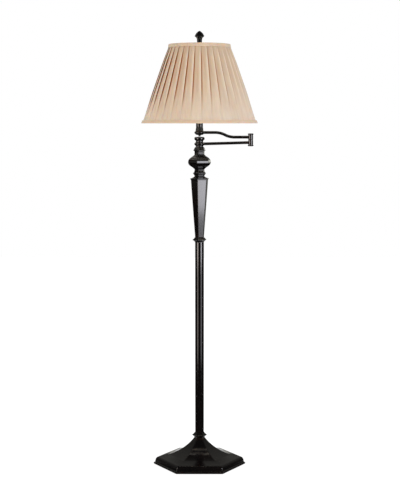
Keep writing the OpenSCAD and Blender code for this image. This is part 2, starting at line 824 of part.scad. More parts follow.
function bulb_profile(wall) = let (belly = bulb_h - bulb_r) concat(
    [[0, 0], [bulb_cap_r - 0.3 - wall, 0]],
    bend_pts([bulb_cap_r - wall, 6], [bulb_r * 0.62 - wall, belly * 0.45],
        [bulb_r * 0.87 - wall, belly * 0.68], 6),
    arc_pts([0, belly], bulb_r - wall, bulb_r - wall, -28, 90, 12));

module bulb_glass() {
    color("#f4f1ea") translate([0, 0, z_glass]) difference() {
        turned(bulb_profile(0));
        translate([0, 0, -0.01]) turned(bulb_profile(glass_t));
    }
}

// ---- Switch ----

module switch_shaft() {
    color("#8a6d3b") translate([0, -8, z_switch]) rotate([90, 0, 0])
        cylinder(r = shaft_r, h = knob_y + knob_len - 13);
}

// Paddle-shaped knob on the shaft
module switch_knob() {
    color("#111111") translate([0, -knob_y, z_switch]) rotate([90, 0, 0]) difference() {
        intersection() {
            turned([[0, 0], [knob_r - 0.6, 0], [knob_r, 0.8], [knob_r, knob_len - 2],
                [knob_r - 1.5, knob_len], [0, knob_len]]);
            union() {
                cylinder(r = knob_r + 1, h = 3);
                translate([-knob_r, -knob_r * 0.45, 0]) cube([2 * knob_r, knob_r * 0.9, knob_len]);
            }
        }
        bore(shaft_r + fit, -1, knob_len - 4);
    }
}

// ---- Harp ----

// Right half of the bow, from its straight foot to the middle of the top
function half_bow() = let (corner_z = z_bow - harp_corner_r)
    concat(
        [[harp_foot_x, z_harp + harp_leg_h - 1, 90]],
        moved(turned_up(double_bend(harp_bend_h, harp_wide_x - harp_foot_x, 6)),
            harp_foot_x, z_harp + harp_leg_h),
        [for (p = quarter_turn(harp_corner_r))
            [harp_wide_x - p[0], corner_z + p[1], 180 - p[2]]]);

module harp() {
    right = half_bow();
    left = [for (i = [len(right) - 1:-1:0]) let (p = right[i]) [-p[0], p[1], -p[2]]];
    color("#8a6d3b") {
        swept(concat(right, left), harp_wire_r - 0.02);
        for (side = [-1, 1]) translate([side * harp_foot_x, 0, z_harp])
            cylinder(r = harp_wire_r, h = harp_leg_h);
        translate([0, 0, z_bow - 2]) cylinder(r = harp_plate_r, h = 2 + harp_wire_r);
        translate([0, 0, z_bow]) cylinder(r = stud_r, h = stud_len + harp_wire_r + fitter_t);
    }
}

module harp_lock(side) {
    color("#8a6d3b") translate([side * harp_foot_x, 0, z_saddle_tab + loose]) difference() {
        turned([[0, 0], [lock_r - 0.4, 0], [lock_r, 0.5], [lock_r, lock_len - 0.5],
            [lock_r - 0.4, lock_len], [0, lock_len]]);
        bore(harp_wire_r + fit, -1, lock_len + 2);
    }
}

module harp_lock_left() harp_lock(-1);

module harp_lock_right() harp_lock(1);

// ---- Shade ----

function liner_r(z) = mix(liner_bottom_r, liner_top_r, (z - z_shade) / shade_h);

module wire_ring(r, z) {
    translate([0, 0, z]) rotate_extrude() translate([r, 0]) circle(r = frame_wire_r);
}

top_ring_r = liner_r(z_ring_wire) - liner_t - frame_wire_r - loose;
z_bottom_ring = z_shade + frame_wire_r + loose;
bottom_ring_r = liner_r(z_bottom_ring) - liner_t - frame_wire_r - 3 * loose;

// Centre plate on three wire arms inside the top ring
module shade_fitter() {
    arm_len = norm([top_ring_r - fitter_r + 2, fitter_drop - fitter_t / 2]);
    arm_tilt = atan((fitter_drop + fitter_t / 2) / (top_ring_r - fitter_r + 2));
    color("#cfcac0") {
        wire_ring(top_ring_r, z_ring_wire);
        translate([0, 0, z_fitter]) tube(fitter_r, stud_r + 0.3, fitter_t);
        for (turn = [30, 150, 270]) rotate([0, 0, turn])
            translate([fitter_r - 2, 0, z_fitter + fitter_t / 2]) rotate([0, -arm_tilt, 0])
                tube_x(0, arm_len, frame_wire_r - 0.3);
    }
}

module bottom_ring() {
    color("#cfcac0") wire_ring(bottom_ring_r, z_bottom_ring);
}

module shade_liner() {
    color("#efe6d6") turned([[liner_bottom_r - liner_t, z_shade], [liner_bottom_r, z_shade],
        [liner_top_r, z_shade_top], [liner_top_r - liner_t, z_shade_top]]);
}

// A closed sleeve of knife pleats: each panel climbs from a fold to a crest and drops back.
// The panels' angles are counted from the front, so a fold lies just right of the middle.
pleat_steps = [[0, 0], [0.5, 0.72], [0.93, 1]];
first_fold = 2.1;
panel_pts = pleats * len(pleat_steps);
z_levels = [z_shade, z_shade + bottom_trim_h + 1, z_shade + 0.29 * shade_h,
    z_shade + 0.55 * shade_h, z_shade + 0.8 * shade_h, z_shade_top - top_trim_h - 1.5,
    z_shade_top - top_trim_h, z_shade_top];

function fold_r(z) = liner_r(z) + cloth_gap + fabric_t;
function top_trim_r(z) = shade_top_r + top_trim_flare * (z_shade_top - z) / top_trim_h;
function crest_r(z) =
    z > z_shade_top - top_trim_h - 1
        ? top_trim_r(z) - trim_t - loose
        : liner_r(z) + mix(pleat_stand_bottom, pleat_stand_top, (z - z_shade) / shade_h);
function panel_point(i, r0, r1, z) =
    let (step = pleat_steps[i % len(pleat_steps)],
        a = -90 + first_fold + (floor(i / len(pleat_steps)) + step[0]) * 360 / pleats,
        r = mix(r0, r1, step[1]))
    [r * cos(a), r * sin(a), z];
function ring_points(r0, r1, z) = [for (i = [0:panel_pts - 1]) panel_point(i, r0, r1, z)];
function wall_faces(lower, upper, outward) = [for (i = [0:panel_pts - 1])
    let (j = (i + 1) % panel_pts, a = lower + i, b = lower + j, c = upper + j, d = upper + i)
    each outward ? [[a, d, c], [a, c, b]] : [[a, c, d], [a, b, c]]];

module pleated_fabric() {
    levels = len(z_levels);
    inner = levels * panel_pts;
    inner_r = [liner_bottom_r + cloth_gap, liner_top_r + cloth_gap];
    points = concat(
        [for (z = z_levels) each ring_points(min(fold_r(z), crest_r(z) - 0.2), crest_r(z), z)],
        ring_points(inner_r[0], inner_r[0], z_shade),
        ring_points(inner_r[1], inner_r[1], z_shade_top));
    faces = concat(
        [for (k = [0:levels - 2]) each wall_faces(k * panel_pts, (k + 1) * panel_pts, true)],
        wall_faces(inner, inner + panel_pts, false),
        wall_faces((levels - 1) * panel_pts, inner + panel_pts, true),
        wall_faces(0, inner, false));
    color("#d8c1a4") polyhedron(points, faces, convexity = 10);
}

module top_trim() {
    z0 = z_shade_top - top_trim_h;
    r0 = top_trim_r(z0);
    color("#cdb08c") turned([[r0 - trim_t, z0], [r0, z0],
        [shade_top_r, z_shade_top], [shade_top_r - trim_t, z_shade_top]]);
}

module bottom_trim() {
    z1 = z_shade + bottom_trim_h;
    r1 = shade_bottom_r - bottom_trim_h * trim_slope;
    color("#cdb08c") turned([[shade_bottom_r - trim_t, z_shade], [shade_bottom_r, z_shade],
        [r1, z1], [r1 - trim_t, z1]]);
}

// ---- Finial ----

module finial() {
    edge_z = 0.7 * finial_h;
    profile = concat([[0, 0], [finial_neck_r + 1, 0], [finial_neck_r + 1, 2.2]],
        bend_pts([finial_neck_r - 0.5, 4.5], [finial_neck_r - 0.7, 0.2 * finial_h],
            [finial_neck_r, 0.42 * finial_h], 4),
        bend_pts([finial_neck_r + 0.3, edge_z - 12], [finial_neck_r + 1.2, edge_z - 6],
            [finial_r - 0.7, edge_z - 3], 5),
        [[finial_r, edge_z - 1.5], [finial_r, edge_z]],
        bend_pts([finial_r - 0.6, edge_z + 1.2], [0.66 * finial_r, 0.92 * finial_h], [0, finial_h], 7));
    color("#17120f") translate([0, 0, z_finial]) difference() {
        six_sided(profile);
        bore(stud_r + thread_fit, -1, stud_len + 2);
    }
}

base_pad();
base_casting();
base_weight();
base_washer();
base_nut();
base_nipple();
cord_bushing();
base_collar();
lower_pole_plug();
lower_pole();
pole_coupler();
upper_pole();
upper_pole_plug();
pole_collar();
vase();
spindle_ring();
spindle_ball();
spindle_dome();
column_rod();
pivot_sleeve();
lower_thrust_washer();
upper_thrust_washer();
column_cap();
arm_hub();
lower_arm_tube();
elbow_lower_barrel();
elbow_pin();
elbow_washer();
elbow_nut();
elbow_bottom_cap();
elbow_upper_barrel();
elbow_top_cap();
upper_arm_tube();
socket_cup();
cup_button();
socket_nipple();
harp_saddle();
socket_cap();
socket_shell();
socket_insulator();
socket_body();
screw_shell();
centre_contact();
bulb_cap();
bulb_glass();
harp();
shade_fitter();
bottom_ring();
shade_liner();
pleated_fabric();
top_trim();
bottom_trim();
finial();
switch_shaft();
switch_knob();
harp_lock_left();
harp_lock_right();
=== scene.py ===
import json
import math
import random

import bmesh
import bpy
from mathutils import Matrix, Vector


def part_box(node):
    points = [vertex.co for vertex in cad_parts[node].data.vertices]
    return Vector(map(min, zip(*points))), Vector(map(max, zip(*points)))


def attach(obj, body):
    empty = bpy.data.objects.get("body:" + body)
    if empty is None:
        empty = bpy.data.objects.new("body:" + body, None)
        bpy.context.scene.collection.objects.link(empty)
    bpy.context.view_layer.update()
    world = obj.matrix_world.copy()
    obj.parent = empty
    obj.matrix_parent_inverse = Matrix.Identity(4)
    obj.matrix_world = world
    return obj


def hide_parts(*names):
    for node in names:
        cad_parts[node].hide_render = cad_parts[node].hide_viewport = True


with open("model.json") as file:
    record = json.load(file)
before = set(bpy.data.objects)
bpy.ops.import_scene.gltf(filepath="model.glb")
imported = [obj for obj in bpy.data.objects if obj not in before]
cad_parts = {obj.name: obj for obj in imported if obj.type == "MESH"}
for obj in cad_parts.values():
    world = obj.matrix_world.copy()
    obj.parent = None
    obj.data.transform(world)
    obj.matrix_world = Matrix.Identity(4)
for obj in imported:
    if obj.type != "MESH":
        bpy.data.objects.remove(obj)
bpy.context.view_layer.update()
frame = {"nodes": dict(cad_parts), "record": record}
nodes = frame["nodes"]
mm = 0.001
tiny = 1e-6


def dropSelection():
    if bpy.context.object and bpy.context.object.mode != "OBJECT":
        bpy.ops.object.mode_set(mode="OBJECT")
    bpy.ops.object.select_all(action="DESELECT")
    bpy.context.view_layer.objects.active = None


def workOn(piece):
    dropSelection()
    piece.select_set(True)
    bpy.context.view_layer.objects.active = piece


def applyModifier(piece, modifier):
    workOn(piece)
    bpy.ops.object.modifier_apply(modifier=modifier.name)


def mix(a, b, t):
    return a + (b - a) * t


# eases from 0 to 1 over a length from its start, and stays there outside
def easeAt(t, start=0.0, length=1.0):
    t = min(1.0, max(0.0, (t - start) / length))
    return t * t * (3 - 2 * t)


# points of the curve that leaves a towards m and reaches b from m
def bend(a, m, b, steps=10):
    points = []
    for i in range(steps + 1):
        t = i / steps
        points.append(tuple(mix(mix(a[k], m[k], t), mix(m[k], b[k], t), t) for k in range(2)))
    return points


# points of an ellipse's arc round (0, z), angles in degrees
def arc(z, across, high, start, end, steps=12):
    angles = [math.radians(mix(start, end, i / steps)) for i in range(steps + 1)]
    return [(across * math.cos(a), z + high * math.sin(a)) for a in angles]


# a bead on a neck, out to its peak and back
def bead(neck, peak, z, high, steps=14):
    return [(neck + (peak - neck) * math.sin(math.pi * i / steps), z + high * i / steps)
            for i in range(steps + 1)]


# rounds a profile's corners a little, as casting and lacquer leave them; slighter turns stay
def softened(profile, radius, leastTurn=24):
    points = [profile[0]]
    for before, corner, after in zip(profile, profile[1:], profile[2:]):
        a, c, b = Vector(before), Vector(corner), Vector(after)
        back, on = a - c, b - c
        if back.length < tiny or on.length < tiny:
            continue
        if 180 - math.degrees(back.angle(on)) < leastTurn:
            points.append(corner)
            continue
        cut = min(radius, 0.4 * back.length, 0.4 * on.length)
        start, end = c + back.normalized() * cut, c + on.normalized() * cut
        points += bend(tuple(start), corner, tuple(end), 3)
    return points + [profile[-1]]


# Starts a piece from one ring at a place in mm, and leaves it selected in edit mode
def startRing(name, place, radius, sides, turn=(0, 0, 0), fill="NOTHING"):
    dropSelection()
    bpy.ops.mesh.primitive_circle_add(vertices=sides, radius=radius * mm, fill_type=fill,
                                      location=[c * mm for c in place], rotation=turn)
    piece = bpy.context.object
    piece.name = name
    bpy.ops.object.transform_apply(location=True, rotation=True, scale=True)
    bpy.ops.object.mode_set(mode="EDIT")
    bpy.ops.mesh.select_mode(type="VERT")
    bpy.ops.mesh.select_all(action="SELECT")
    return piece


def drawOut(x, z):
    bpy.ops.mesh.extrude_region_move(TRANSFORM_OT_translate={"value": (x * mm, 0, z * mm)})


# Leaves edit mode with doubles merged and every face turned outwards
def closeShape():
    bpy.ops.mesh.select_all(action="SELECT")
    bpy.ops.mesh.remove_doubles(threshold=tiny)
    bpy.ops.mesh.normals_make_consistent(inside=False)
    bpy.ops.object.mode_set(mode="OBJECT")


# Extrudes and scales a ring step by step up the profile, in mm from its foot. A profile that ends
# on its first ring is closed there, and one that ends on the axis is merged.
def turnPiece(name, profile, foot, sides=72, turned=0.0, x=0.0, filled=True):
    fill = "NGON" if filled and profile[0] != profile[-1] else "NOTHING"
    radius, z = profile[0]
    piece = startRing(name, (x, 0, foot + z), radius, sides,
                      (0, 0, math.radians(turned) + math.pi / 2), fill)
    for nextRadius, nextZ in profile[1:]:
        drawOut(0, nextZ - z)
        if nextRadius < tiny:
            bpy.ops.mesh.merge(type="CENTER")
            break
        if abs(nextRadius - radius) > tiny:
            grow = nextRadius / radius
            centre = (x * mm, 0, (foot + nextZ) * mm)
            bpy.ops.transform.resize(value=(grow, grow, 1), center_override=centre)
        radius, z = nextRadius, nextZ
    closeShape()
    return piece


# Bevels the upright ridges of a faceted piece that stand further out than inside
def bevelRidges(piece, width, inside, steps=3):
    workOn(piece)
    bpy.ops.object.mode_set(mode="EDIT")
    bpy.ops.mesh.select_mode(type="EDGE")
    bpy.ops.mesh.select_all(action="DESELECT")
    shape = bmesh.from_edit_mesh(piece.data)
    for edge in shape.edges:
        a, b = edge.verts[0].co, edge.verts[1].co
        if min(a.xy.length, b.xy.length) < inside * mm or not edge.is_manifold:
            continue
        upright = a.xy.normalized().dot(b.xy.normalized()) > 0.9999
        edge.select = upright and edge.calc_face_angle() > math.radians(20)
    shape.select_flush_mode()
    bmesh.update_edit_mesh(piece.data)
    bpy.ops.mesh.bevel(offset=width * mm, segments=steps, affect="EDGES", clamp_overlap=False)
    bpy.ops.mesh.select_all(action="SELECT")
    bpy.ops.mesh.remove_doubles(threshold=tiny)
    bpy.ops.object.mode_set(mode="OBJECT")


def smoothOver(piece, angle=32):
    workOn(piece)
    bpy.ops.object.shade_smooth_by_angle(angle=math.radians(angle))


# Smooths a faceted piece, and keeps its broad facets flat beside their bevels
def smoothFacets(piece):
    smoothOver(piece, 34)
    weighted = piece.modifiers.new("flat facets", "WEIGHTED_NORMAL")
    weighted.keep_sharp = True
    weighted.weight = 90
    applyModifier(piece, weighted)


# Cuts a round hole through a piece from one point to another
def drillHole(piece, start, end, radius):
    dropSelection()
    a, b = Vector(start) * mm, Vector(end) * mm
    way = b - a
    bpy.ops.mesh.primitive_cylinder_add(
        vertices=48, radius=radius * mm, depth=way.length, location=(a + b) / 2,
        rotation=way.to_track_quat("Z", "Y").to_euler())
    drill = bpy.context.object
    cut = piece.modifiers.new("hole", "BOOLEAN")
    cut.operation = "DIFFERENCE"
    cut.solver = "EXACT"
    cut.object = drill
    applyModifier(piece, cut)
    bpy.data.objects.remove(drill)


# Gives an open shell its wall: inwards, or half each way where the offset is 0
def giveWall(piece, thickness, offset=-1):
    wall = piece.modifiers.new("wall", "SOLIDIFY")
    wall.thickness = thickness * mm
    wall.offset = offset
    applyModifier(piece, wall)


def footOf(node):
    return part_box(node)[0][2] / mm


def topOf(node):
    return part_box(node)[1][2] / mm


# Says which solid a piece stands for, what it rides on and what it is finished with
def standsFor(piece, node, body, slotName="bronze_metal"):
    piece.data.materials.clear()
    piece.data.materials.append(finishes[slotName])
    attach(piece, body)
    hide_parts(node)


view = {"place": (0.0017, -4.51, 1.19503), "tilt": 90 - 5.578, "lens": 94.36, "sensor": 36}
optics = bpy.data.cameras.new("view")
optics.lens = view["lens"]
optics.sensor_width = view["sensor"]
camera = bpy.data.objects.new("view", optics)
camera.location = view["place"]
camera.rotation_euler = (math.radians(view["tilt"]), 0, 0)
bpy.context.scene.collection.objects.link(camera)
bpy.context.scene.camera = camera
bpy.context.scene.view_settings.view_transform = "Standard"
print("camera set")


def noise(tree, place, scale, detail=4.0, roughness=0.55, stretch=None):
    if stretch:
        scaled = tree.nodes.new("ShaderNodeMapping")
        scaled.inputs["Scale"].default_value = stretch
        tree.links.new(place, scaled.inputs["Vector"])
        place = scaled.outputs["Vector"]
    cloud = tree.nodes.new("ShaderNodeTexNoise")
    cloud.inputs["Scale"].default_value = scale
    cloud.inputs["Detail"].default_value = detail
    cloud.inputs["Roughness"].default_value = roughness
    tree.links.new(place, cloud.inputs["Vector"])
    return cloud.outputs["Fac"]


# turns a value from low to high into one from start to end
def span(tree, value, low, high, start=0.0, end=1.0):
    ranged = tree.nodes.new("ShaderNodeMapRange")
    limits = {"From Min": low, "From Max": high, "To Min": start, "To Max": end}
    for socket, number in limits.items():
        ranged.inputs[socket].default_value = number
    tree.links.new(value, ranged.inputs["Value"])
    return ranged.outputs["Result"]


def tint(tree, amount, first, second):
    mixed = tree.nodes.new("ShaderNodeMix")
    mixed.data_type = "RGBA"
    tree.links.new(amount, mixed.inputs[0])
    for socket, colour in ((mixed.inputs[6], first), (mixed.inputs[7], second)):
        if isinstance(colour, tuple):
            socket.default_value = (*colour, 1)
        else:
            tree.links.new(colour, socket)
    return mixed.outputs[2]


def sums(tree, first, second, kind="ADD"):
    worked = tree.nodes.new("ShaderNodeMath")
    worked.operation = kind
    for socket, value in ((worked.inputs[0], first), (worked.inputs[1], second)):
        if isinstance(value, (int, float)):
            socket.default_value = value
        else:
            tree.links.new(value, socket)
    return worked.outputs[0]


def times(tree, first, second):
    return sums(tree, first, second, "MULTIPLY")


def bumped(tree, shader, height, distance, strength):
    bump = tree.nodes.new("ShaderNodeBump")
    bump.inputs["Strength"].default_value = strength
    bump.inputs["Distance"].default_value = distance
    tree.links.new(height, bump.inputs["Height"])
    tree.links.new(bump.outputs["Normal"], shader.inputs["Normal"])


# A finish starts as a shader with its own values set, and is linked up by what uses it
def newFinish(name, sockets):
    finish = bpy.data.materials.new(name)
    finish.use_nodes = True
    shader = finish.node_tree.nodes["Principled BSDF"]
    for socket, value in sockets.items():
        shader.inputs[socket].default_value = value
    return finish, finish.node_tree, shader


# Two colours in patches, with a third rubbed through on ridges where a look has it, then gloss
# and grain, each from its own noise
def patchyFinish(look):
    finish, tree, shader = newFinish(look["name"], look["sockets"])
    place = tree.nodes.new("ShaderNodeTexCoord").outputs["Object"]
    patches = span(tree, noise(tree, place, *look["patches"]), *look["patchEdges"])
    colour = tint(tree, patches, *look["colours"])
    if "worn" in look:
        ridge = tree.nodes.new("ShaderNodeNewGeometry").outputs["Pointiness"]
        rubs = span(tree, noise(tree, place, *look["rubs"]), *look["rubEdges"])
        rubbed = times(tree, span(tree, ridge, *look["ridgeEdges"]), rubs)
        colour = tint(tree, rubbed, colour, look["worn"])
    tree.links.new(colour, shader.inputs["Base Color"])
    if "gloss" in look:
        shine = span(tree, noise(tree, place, *look["shine"]), 0.3, 0.7, *look["gloss"])
        tree.links.new(shine, shader.inputs["Roughness"])
    bumped(tree, shader, noise(tree, place, *look["grain"]), *look["relief"])
    return finish


# plain and plated metal of the fittings, with fine turning marks and dull patches
def platedLook(name, colour, gloss):
    return {
        "name": name, "sockets": {"Metallic": 1.0},
        "colours": (colour, tuple(c * 0.62 for c in colour)),
        "patches": (120, 5), "patchEdges": (0.4, 0.72), "shine": (260, 4), "gloss": gloss,
        "grain": (1400, 2, 0.5, (0.15, 0.15, 1)), "relief": (0.00003, 0.4),
    }


# patches, rubs, shine and grain are noises: scale, detail, roughness and stretch. Gloss is the
# roughness from where to where, and relief is the bump's depth in metres and its strength.
looks = {
    "bronze_metal": {                           # dark oil-rubbed lacquer over cast metal
        "name": "lacquered bronze",
        "sockets": {"IOR": 1.55, "Specular IOR Level": 0.1, "Coat Weight": 1.0, "Coat IOR": 1.74,
                    "Coat Roughness": 0.11},
        "colours": ((0.0024, 0.0020, 0.0021), (0.0046, 0.0030, 0.0027)),
        "patches": (17, 5, 0.6), "patchEdges": (0.42, 0.66),
        "worn": (0.030, 0.0135, 0.0085), "ridgeEdges": (0.53, 0.62),
        "rubs": (60, 4), "rubEdges": (0.45, 0.65), "shine": (34, 4, 0.6), "gloss": (0.14, 0.22),
        "grain": (90, 3), "relief": (0.00016, 0.16),
    },
    "zinc_steel": platedLook("zinc plated steel", (0.56, 0.57, 0.58), (0.22, 0.4)),
    "grey_iron": {                              # rough casting under grey paint
        "name": "cast iron", "sockets": {"Roughness": 0.7, "Metallic": 0.2},
        "colours": ((0.045, 0.045, 0.048), (0.09, 0.085, 0.08)),
        "patches": (60, 8, 0.7), "patchEdges": (0.35, 0.65),
        "grain": (340, 6, 0.7), "relief": (0.0006, 0.8),
    },
    "felt": {                                   # fibres pressed flat
        "name": "pressed felt",
        "sockets": {"Roughness": 0.95, "Sheen Weight": 0.35, "Sheen Roughness": 0.6},
        "colours": ((0.016, 0.015, 0.015), (0.040, 0.037, 0.036)),
        "patches": (700, 5, 0.7, (1, 0.35, 1)), "patchEdges": (0.35, 0.65),
        "grain": (700, 5, 0.7, (1, 0.35, 1)), "relief": (0.0004, 0.9),
    },
    "black_plastic": {
        "name": "black moulding", "sockets": {"IOR": 1.5},
        "colours": ((0.012, 0.012, 0.013), (0.020, 0.019, 0.019)),
        "patches": (80, 3), "patchEdges": (0.4, 0.6), "shine": (500, 3), "gloss": (0.32, 0.48),
        "grain": (2600, 2), "relief": (0.00005, 0.5),
    },
    "plain_brass": platedLook("plain brass", (0.72, 0.52, 0.24), (0.2, 0.34)),
    "antique_brass": platedLook("antique brass", (0.40, 0.26, 0.12), (0.28, 0.46)),
    "liner_board": {                            # pale styrene-backed board with a faint fibre
        "name": "liner board", "sockets": {"Roughness": 0.6},
        "colours": ((0.80, 0.76, 0.68), (0.87, 0.84, 0.77)),
        "patches": (180, 5, 0.6, (1, 1, 0.3)), "patchEdges": (0.3, 0.7),
        "grain": (180, 5, 0.6, (1, 1, 0.3)), "relief": (0.00008, 0.4),
    },
    "bulb_nickel": platedLook("nickel plate", (0.66, 0.63, 0.58), (0.18, 0.3)),
    "frosted_glass": {
        "name": "frosted glass",
        "sockets": {"IOR": 1.5, "Roughness": 0.35, "Transmission Weight": 0.35},
        "colours": ((0.86, 0.86, 0.84), (0.92, 0.92, 0.90)),
        "patches": (45, 4), "patchEdges": (0.35, 0.65),
        "grain": (1500, 2), "relief": (0.00002, 0.4),
    },
    "white_wire": {
        "name": "white lacquered wire", "sockets": {"IOR": 1.5},
        "colours": ((0.76, 0.75, 0.72), (0.60, 0.57, 0.52)),
        "patches": (150, 5), "patchEdges": (0.45, 0.75), "shine": (300, 3), "gloss": (0.28, 0.45),
        "grain": (800, 2), "relief": (0.00004, 0.5),
    },
}
looks["shade_backing"] = dict(looks["liner_board"], name="shade backing")

# what both cloths share, and then the colours and the thread of each
cloth = {
    "sockets": {"Roughness": 0.82, "Sheen Weight": 0.25, "Sheen Roughness": 0.45,
                "Specular IOR Level": 0.25, "Subsurface Weight": 0.4,
                "Subsurface Radius": (1.0, 0.40, 0.16), "Subsurface Scale": 0.0022},
    "slubs": (620, 5, 0.62, (1, 0.045, 1)), "broad": (16, 3, 0.5, (1, 0.6, 1)),
    "streaks": (150, 3, 0.55, (1, 0.03, 1)), "shadeEdges": (1.10, 1.90),
    # the first span is where on the cut's height the painted light towards the foot begins and is
    # full
    "paintedLightEdges": (0.17, 0.0), "waver": 0.6, "weave": 0.3, "relief": (0.00012, 0.55),
}
pleatedLook = {
    "name": "pleated cloth", "pale": (0.712, 0.506, 0.359), "deep": (0.588, 0.393, 0.264),
    # paler copies of the colours towards the foot: painted light
    "paintedLightPale": (0.824, 0.631, 0.497), "paintedLightDeep": (0.712, 0.511, 0.384),
    # crest is the colour of the painted highlight along the crests, crease that of the painted
    # shade in the folds
    "crest": (0.850, 0.651, 0.499), "creaseShade": (0.48, 0.140, 0.026), "threads": 1500.0, "slub": 1.0,
}
trimLook = {
    "name": "trim tape", "pale": (0.700, 0.535, 0.390), "deep": (0.610, 0.450, 0.315),
    "threads": 1100.0, "slub": 0.4,
}


# Cloth: its own map runs along the width and the height of the cut, in metres
def wovenCloth(look):
    finish, tree, shader = newFinish(look["name"], cloth["sockets"])
    cutMap = tree.nodes.new("ShaderNodeUVMap")
    cutMap.uv_map = "cut"
    cut = cutMap.outputs["UV"]
    slubs, broad, streaks = (noise(tree, cut, *cloth[k]) for k in ("slubs", "broad", "streaks"))
    shades = span(tree, sums(tree, sums(tree, slubs, broad), streaks), *cloth["shadeEdges"])
    body = tint(tree, shades, look["deep"], look["pale"])
    if "creaseShade" in look:                        # painted light, highlight and shade
        # Paler colours towards the foot are painted light, the crest tint is a painted highlight,
        # and the reddish fold tint is painted shade.
        upward = tree.nodes.new("ShaderNodeSeparateXYZ")
        tree.links.new(cut, upward.inputs[0])
        low = span(tree, upward.outputs["Y"], *cloth["paintedLightEdges"])
        body = tint(tree, low, body, tint(tree, shades, look["paintedLightDeep"], look["paintedLightPale"]))
        for attribute, colour in (("paintedCrestHighlight", look["crest"]), ("paintedFoldShade", look["creaseShade"])):
            fold = tree.nodes.new("ShaderNodeAttribute")
            fold.attribute_name = attribute
            body = tint(tree, fold.outputs["Fac"], body, colour)
    tree.links.new(body, shader.inputs["Base Color"])
    threads = []
    for direction in ("X", "Y"):
        thread = tree.nodes.new("ShaderNodeTexWave")
        thread.bands_direction = direction
        thread.wave_profile = "SIN"
        thread.inputs["Scale"].default_value = look["threads"] / 6.283 * 1.6
        thread.inputs["Distortion"].default_value = cloth["waver"]
        thread.inputs["Detail"].default_value = 1.0
        tree.links.new(cut, thread.inputs["Vector"])
        threads.append(thread.outputs["Fac"])
    weave = times(tree, sums(tree, *threads), cloth["weave"])
    bumped(tree, shader, sums(tree, weave, times(tree, slubs, look["slub"])), *cloth["relief"])
    return finish


finishes = {slotName: patchyFinish(look) for slotName, look in looks.items()}
finishes["pleated_cloth"] = wovenCloth(pleatedLook)
finishes["trim_cloth"] = wovenCloth(trimLook)

for row in frame["record"]["subparts"]:
    slots = nodes[row["node"]].data.materials
    slots.clear()
    slots.append(finishes[row["material_slot"]])
print("materials made:", len(finishes))


# The base: a low rim, then a trumpet up to the neck, hollow below with a boss for the nipple.
# Radii are to the corners of the six sides, and the vault is the hollow's own outline.
base = {
    "cornerRadius": 161, "lip": 4, "sideRadius": 156, "side": 17.5, "rim": 7, "shoulder": 15,
    "neckRadius": 18.5, "height": 93, "wall": 5, "bore": 5.9, "boss": 15.5, "bossFoot": 17,
    "bossTop": 79, "vault": [(24, 69), (44, 50), (78, 31)], "edge": 0.9, "ridge": 1.2,
    "ridgeInside": 22, "cordHole": 3.9, "cordHoleHeight": 9.7, "cordHoleReach": (100, 170),
}


def makeBase(b):
    side, high, bore, boss = b["side"], b["height"], b["bore"], b["boss"]
    rim = (b["sideRadius"] - b["shoulder"], side + b["rim"])
    neck = (b["neckRadius"], high)
    flare = (mix(neck[0], rim[0], 0.35), mix(rim[1], neck[1], 0.2))
    outside = [(b["cornerRadius"], 0), (b["cornerRadius"], b["lip"])]
    outside += bend((b["sideRadius"], b["lip"] + 2), (b["sideRadius"] - 1, rim[1]), rim, 10)
    outside += bend(rim, flare, neck, 26)[1:]
    inner = b["sideRadius"] - b["wall"]
    inside = [(bore, high), (bore, b["bossFoot"]), (boss, b["bossFoot"]), (boss, b["bossTop"])]
    inside += b["vault"] + [(inner - 16, side + 1), (inner - 5, side + 1), (inner, side - 2),
                            (inner, 0), outside[0]]
    foot = footOf("base_casting")
    piece = turnPiece("baseCasting", softened(outside, b["edge"]) + inside, foot, sides=6)
    bevelRidges(piece, b["ridge"], b["ridgeInside"], 4)
    holeStart, holeEnd = ((0, y, foot + b["cordHoleHeight"]) for y in b["cordHoleReach"])
    drillHole(piece, holeStart, holeEnd, b["cordHole"])     # in the rear face
    smoothFacets(piece)
    standsFor(piece, "base_casting", "stand")


makeBase(base)

# six-sided pieces threaded on the column: an outline is the radius to the ridges and the height
facets = {"turn": 18.4, "bore": 5.9, "edge": 0.5}


def makeFaceted(name, node, outline, turn, ridge, inside):
    bore, top = facets["bore"], outline[-1][1]
    closing = [(bore, top), (bore, 0), outline[0]]
    profile = softened(outline, facets["edge"]) + closing
    piece = turnPiece(name, profile, footOf(node), 6, turn)
    bevelRidges(piece, ridge, inside)
    smoothFacets(piece)
    standsFor(piece, node, "stand")


# collars with one sharp edge, on the base's neck and on the pole's top
collars = {
    "baseCollar": {"node": "base_collar", "foot": 18.5, "footHeight": 2.5, "edge": 26,
                   "top": 15.9, "height": 20, "turn": 0, "ridge": 0.7},
    "poleCollar": {"node": "pole_collar", "foot": 16.2, "footHeight": 0.5, "edge": 25.3,
                   "top": 16.2, "height": 18, "turn": facets["turn"], "ridge": 0.7},
}


def collarOutline(c):
    edge, top, edgeZ = c["edge"], c["top"], 0.45 * c["height"]
    start = (c["foot"], c["footHeight"])
    return ([(c["foot"], 0), start]
            + bend(start, (c["foot"] + 2.6, edgeZ - 3.6), (edge, edgeZ - 0.2), 6)[1:]
            + bend((edge, edgeZ + 0.6), (top + 3.2, edgeZ + 5.4), (top, c["height"]), 7))


for name, collar in collars.items():
    makeFaceted(name, collar["node"], collarOutline(collar), collar["turn"], collar["ridge"], 12)
print("base and collars made")


spindleRidge = 0.8
vase = {"height": 210, "foot": 16.2, "top": 31, "flange": 34, "neck": 18.5, "shoulder": 17,
        "cove": 10.5}
ring = {"height": 19, "neck": 18.5, "peak": 23.6}
ball = {"height": 61.5, "radius": 41.4, "neck": 18.5, "middle": 0.475}
dome = {"height": 20.5, "radius": 22.2, "neck": 18.5, "top": 13.4}


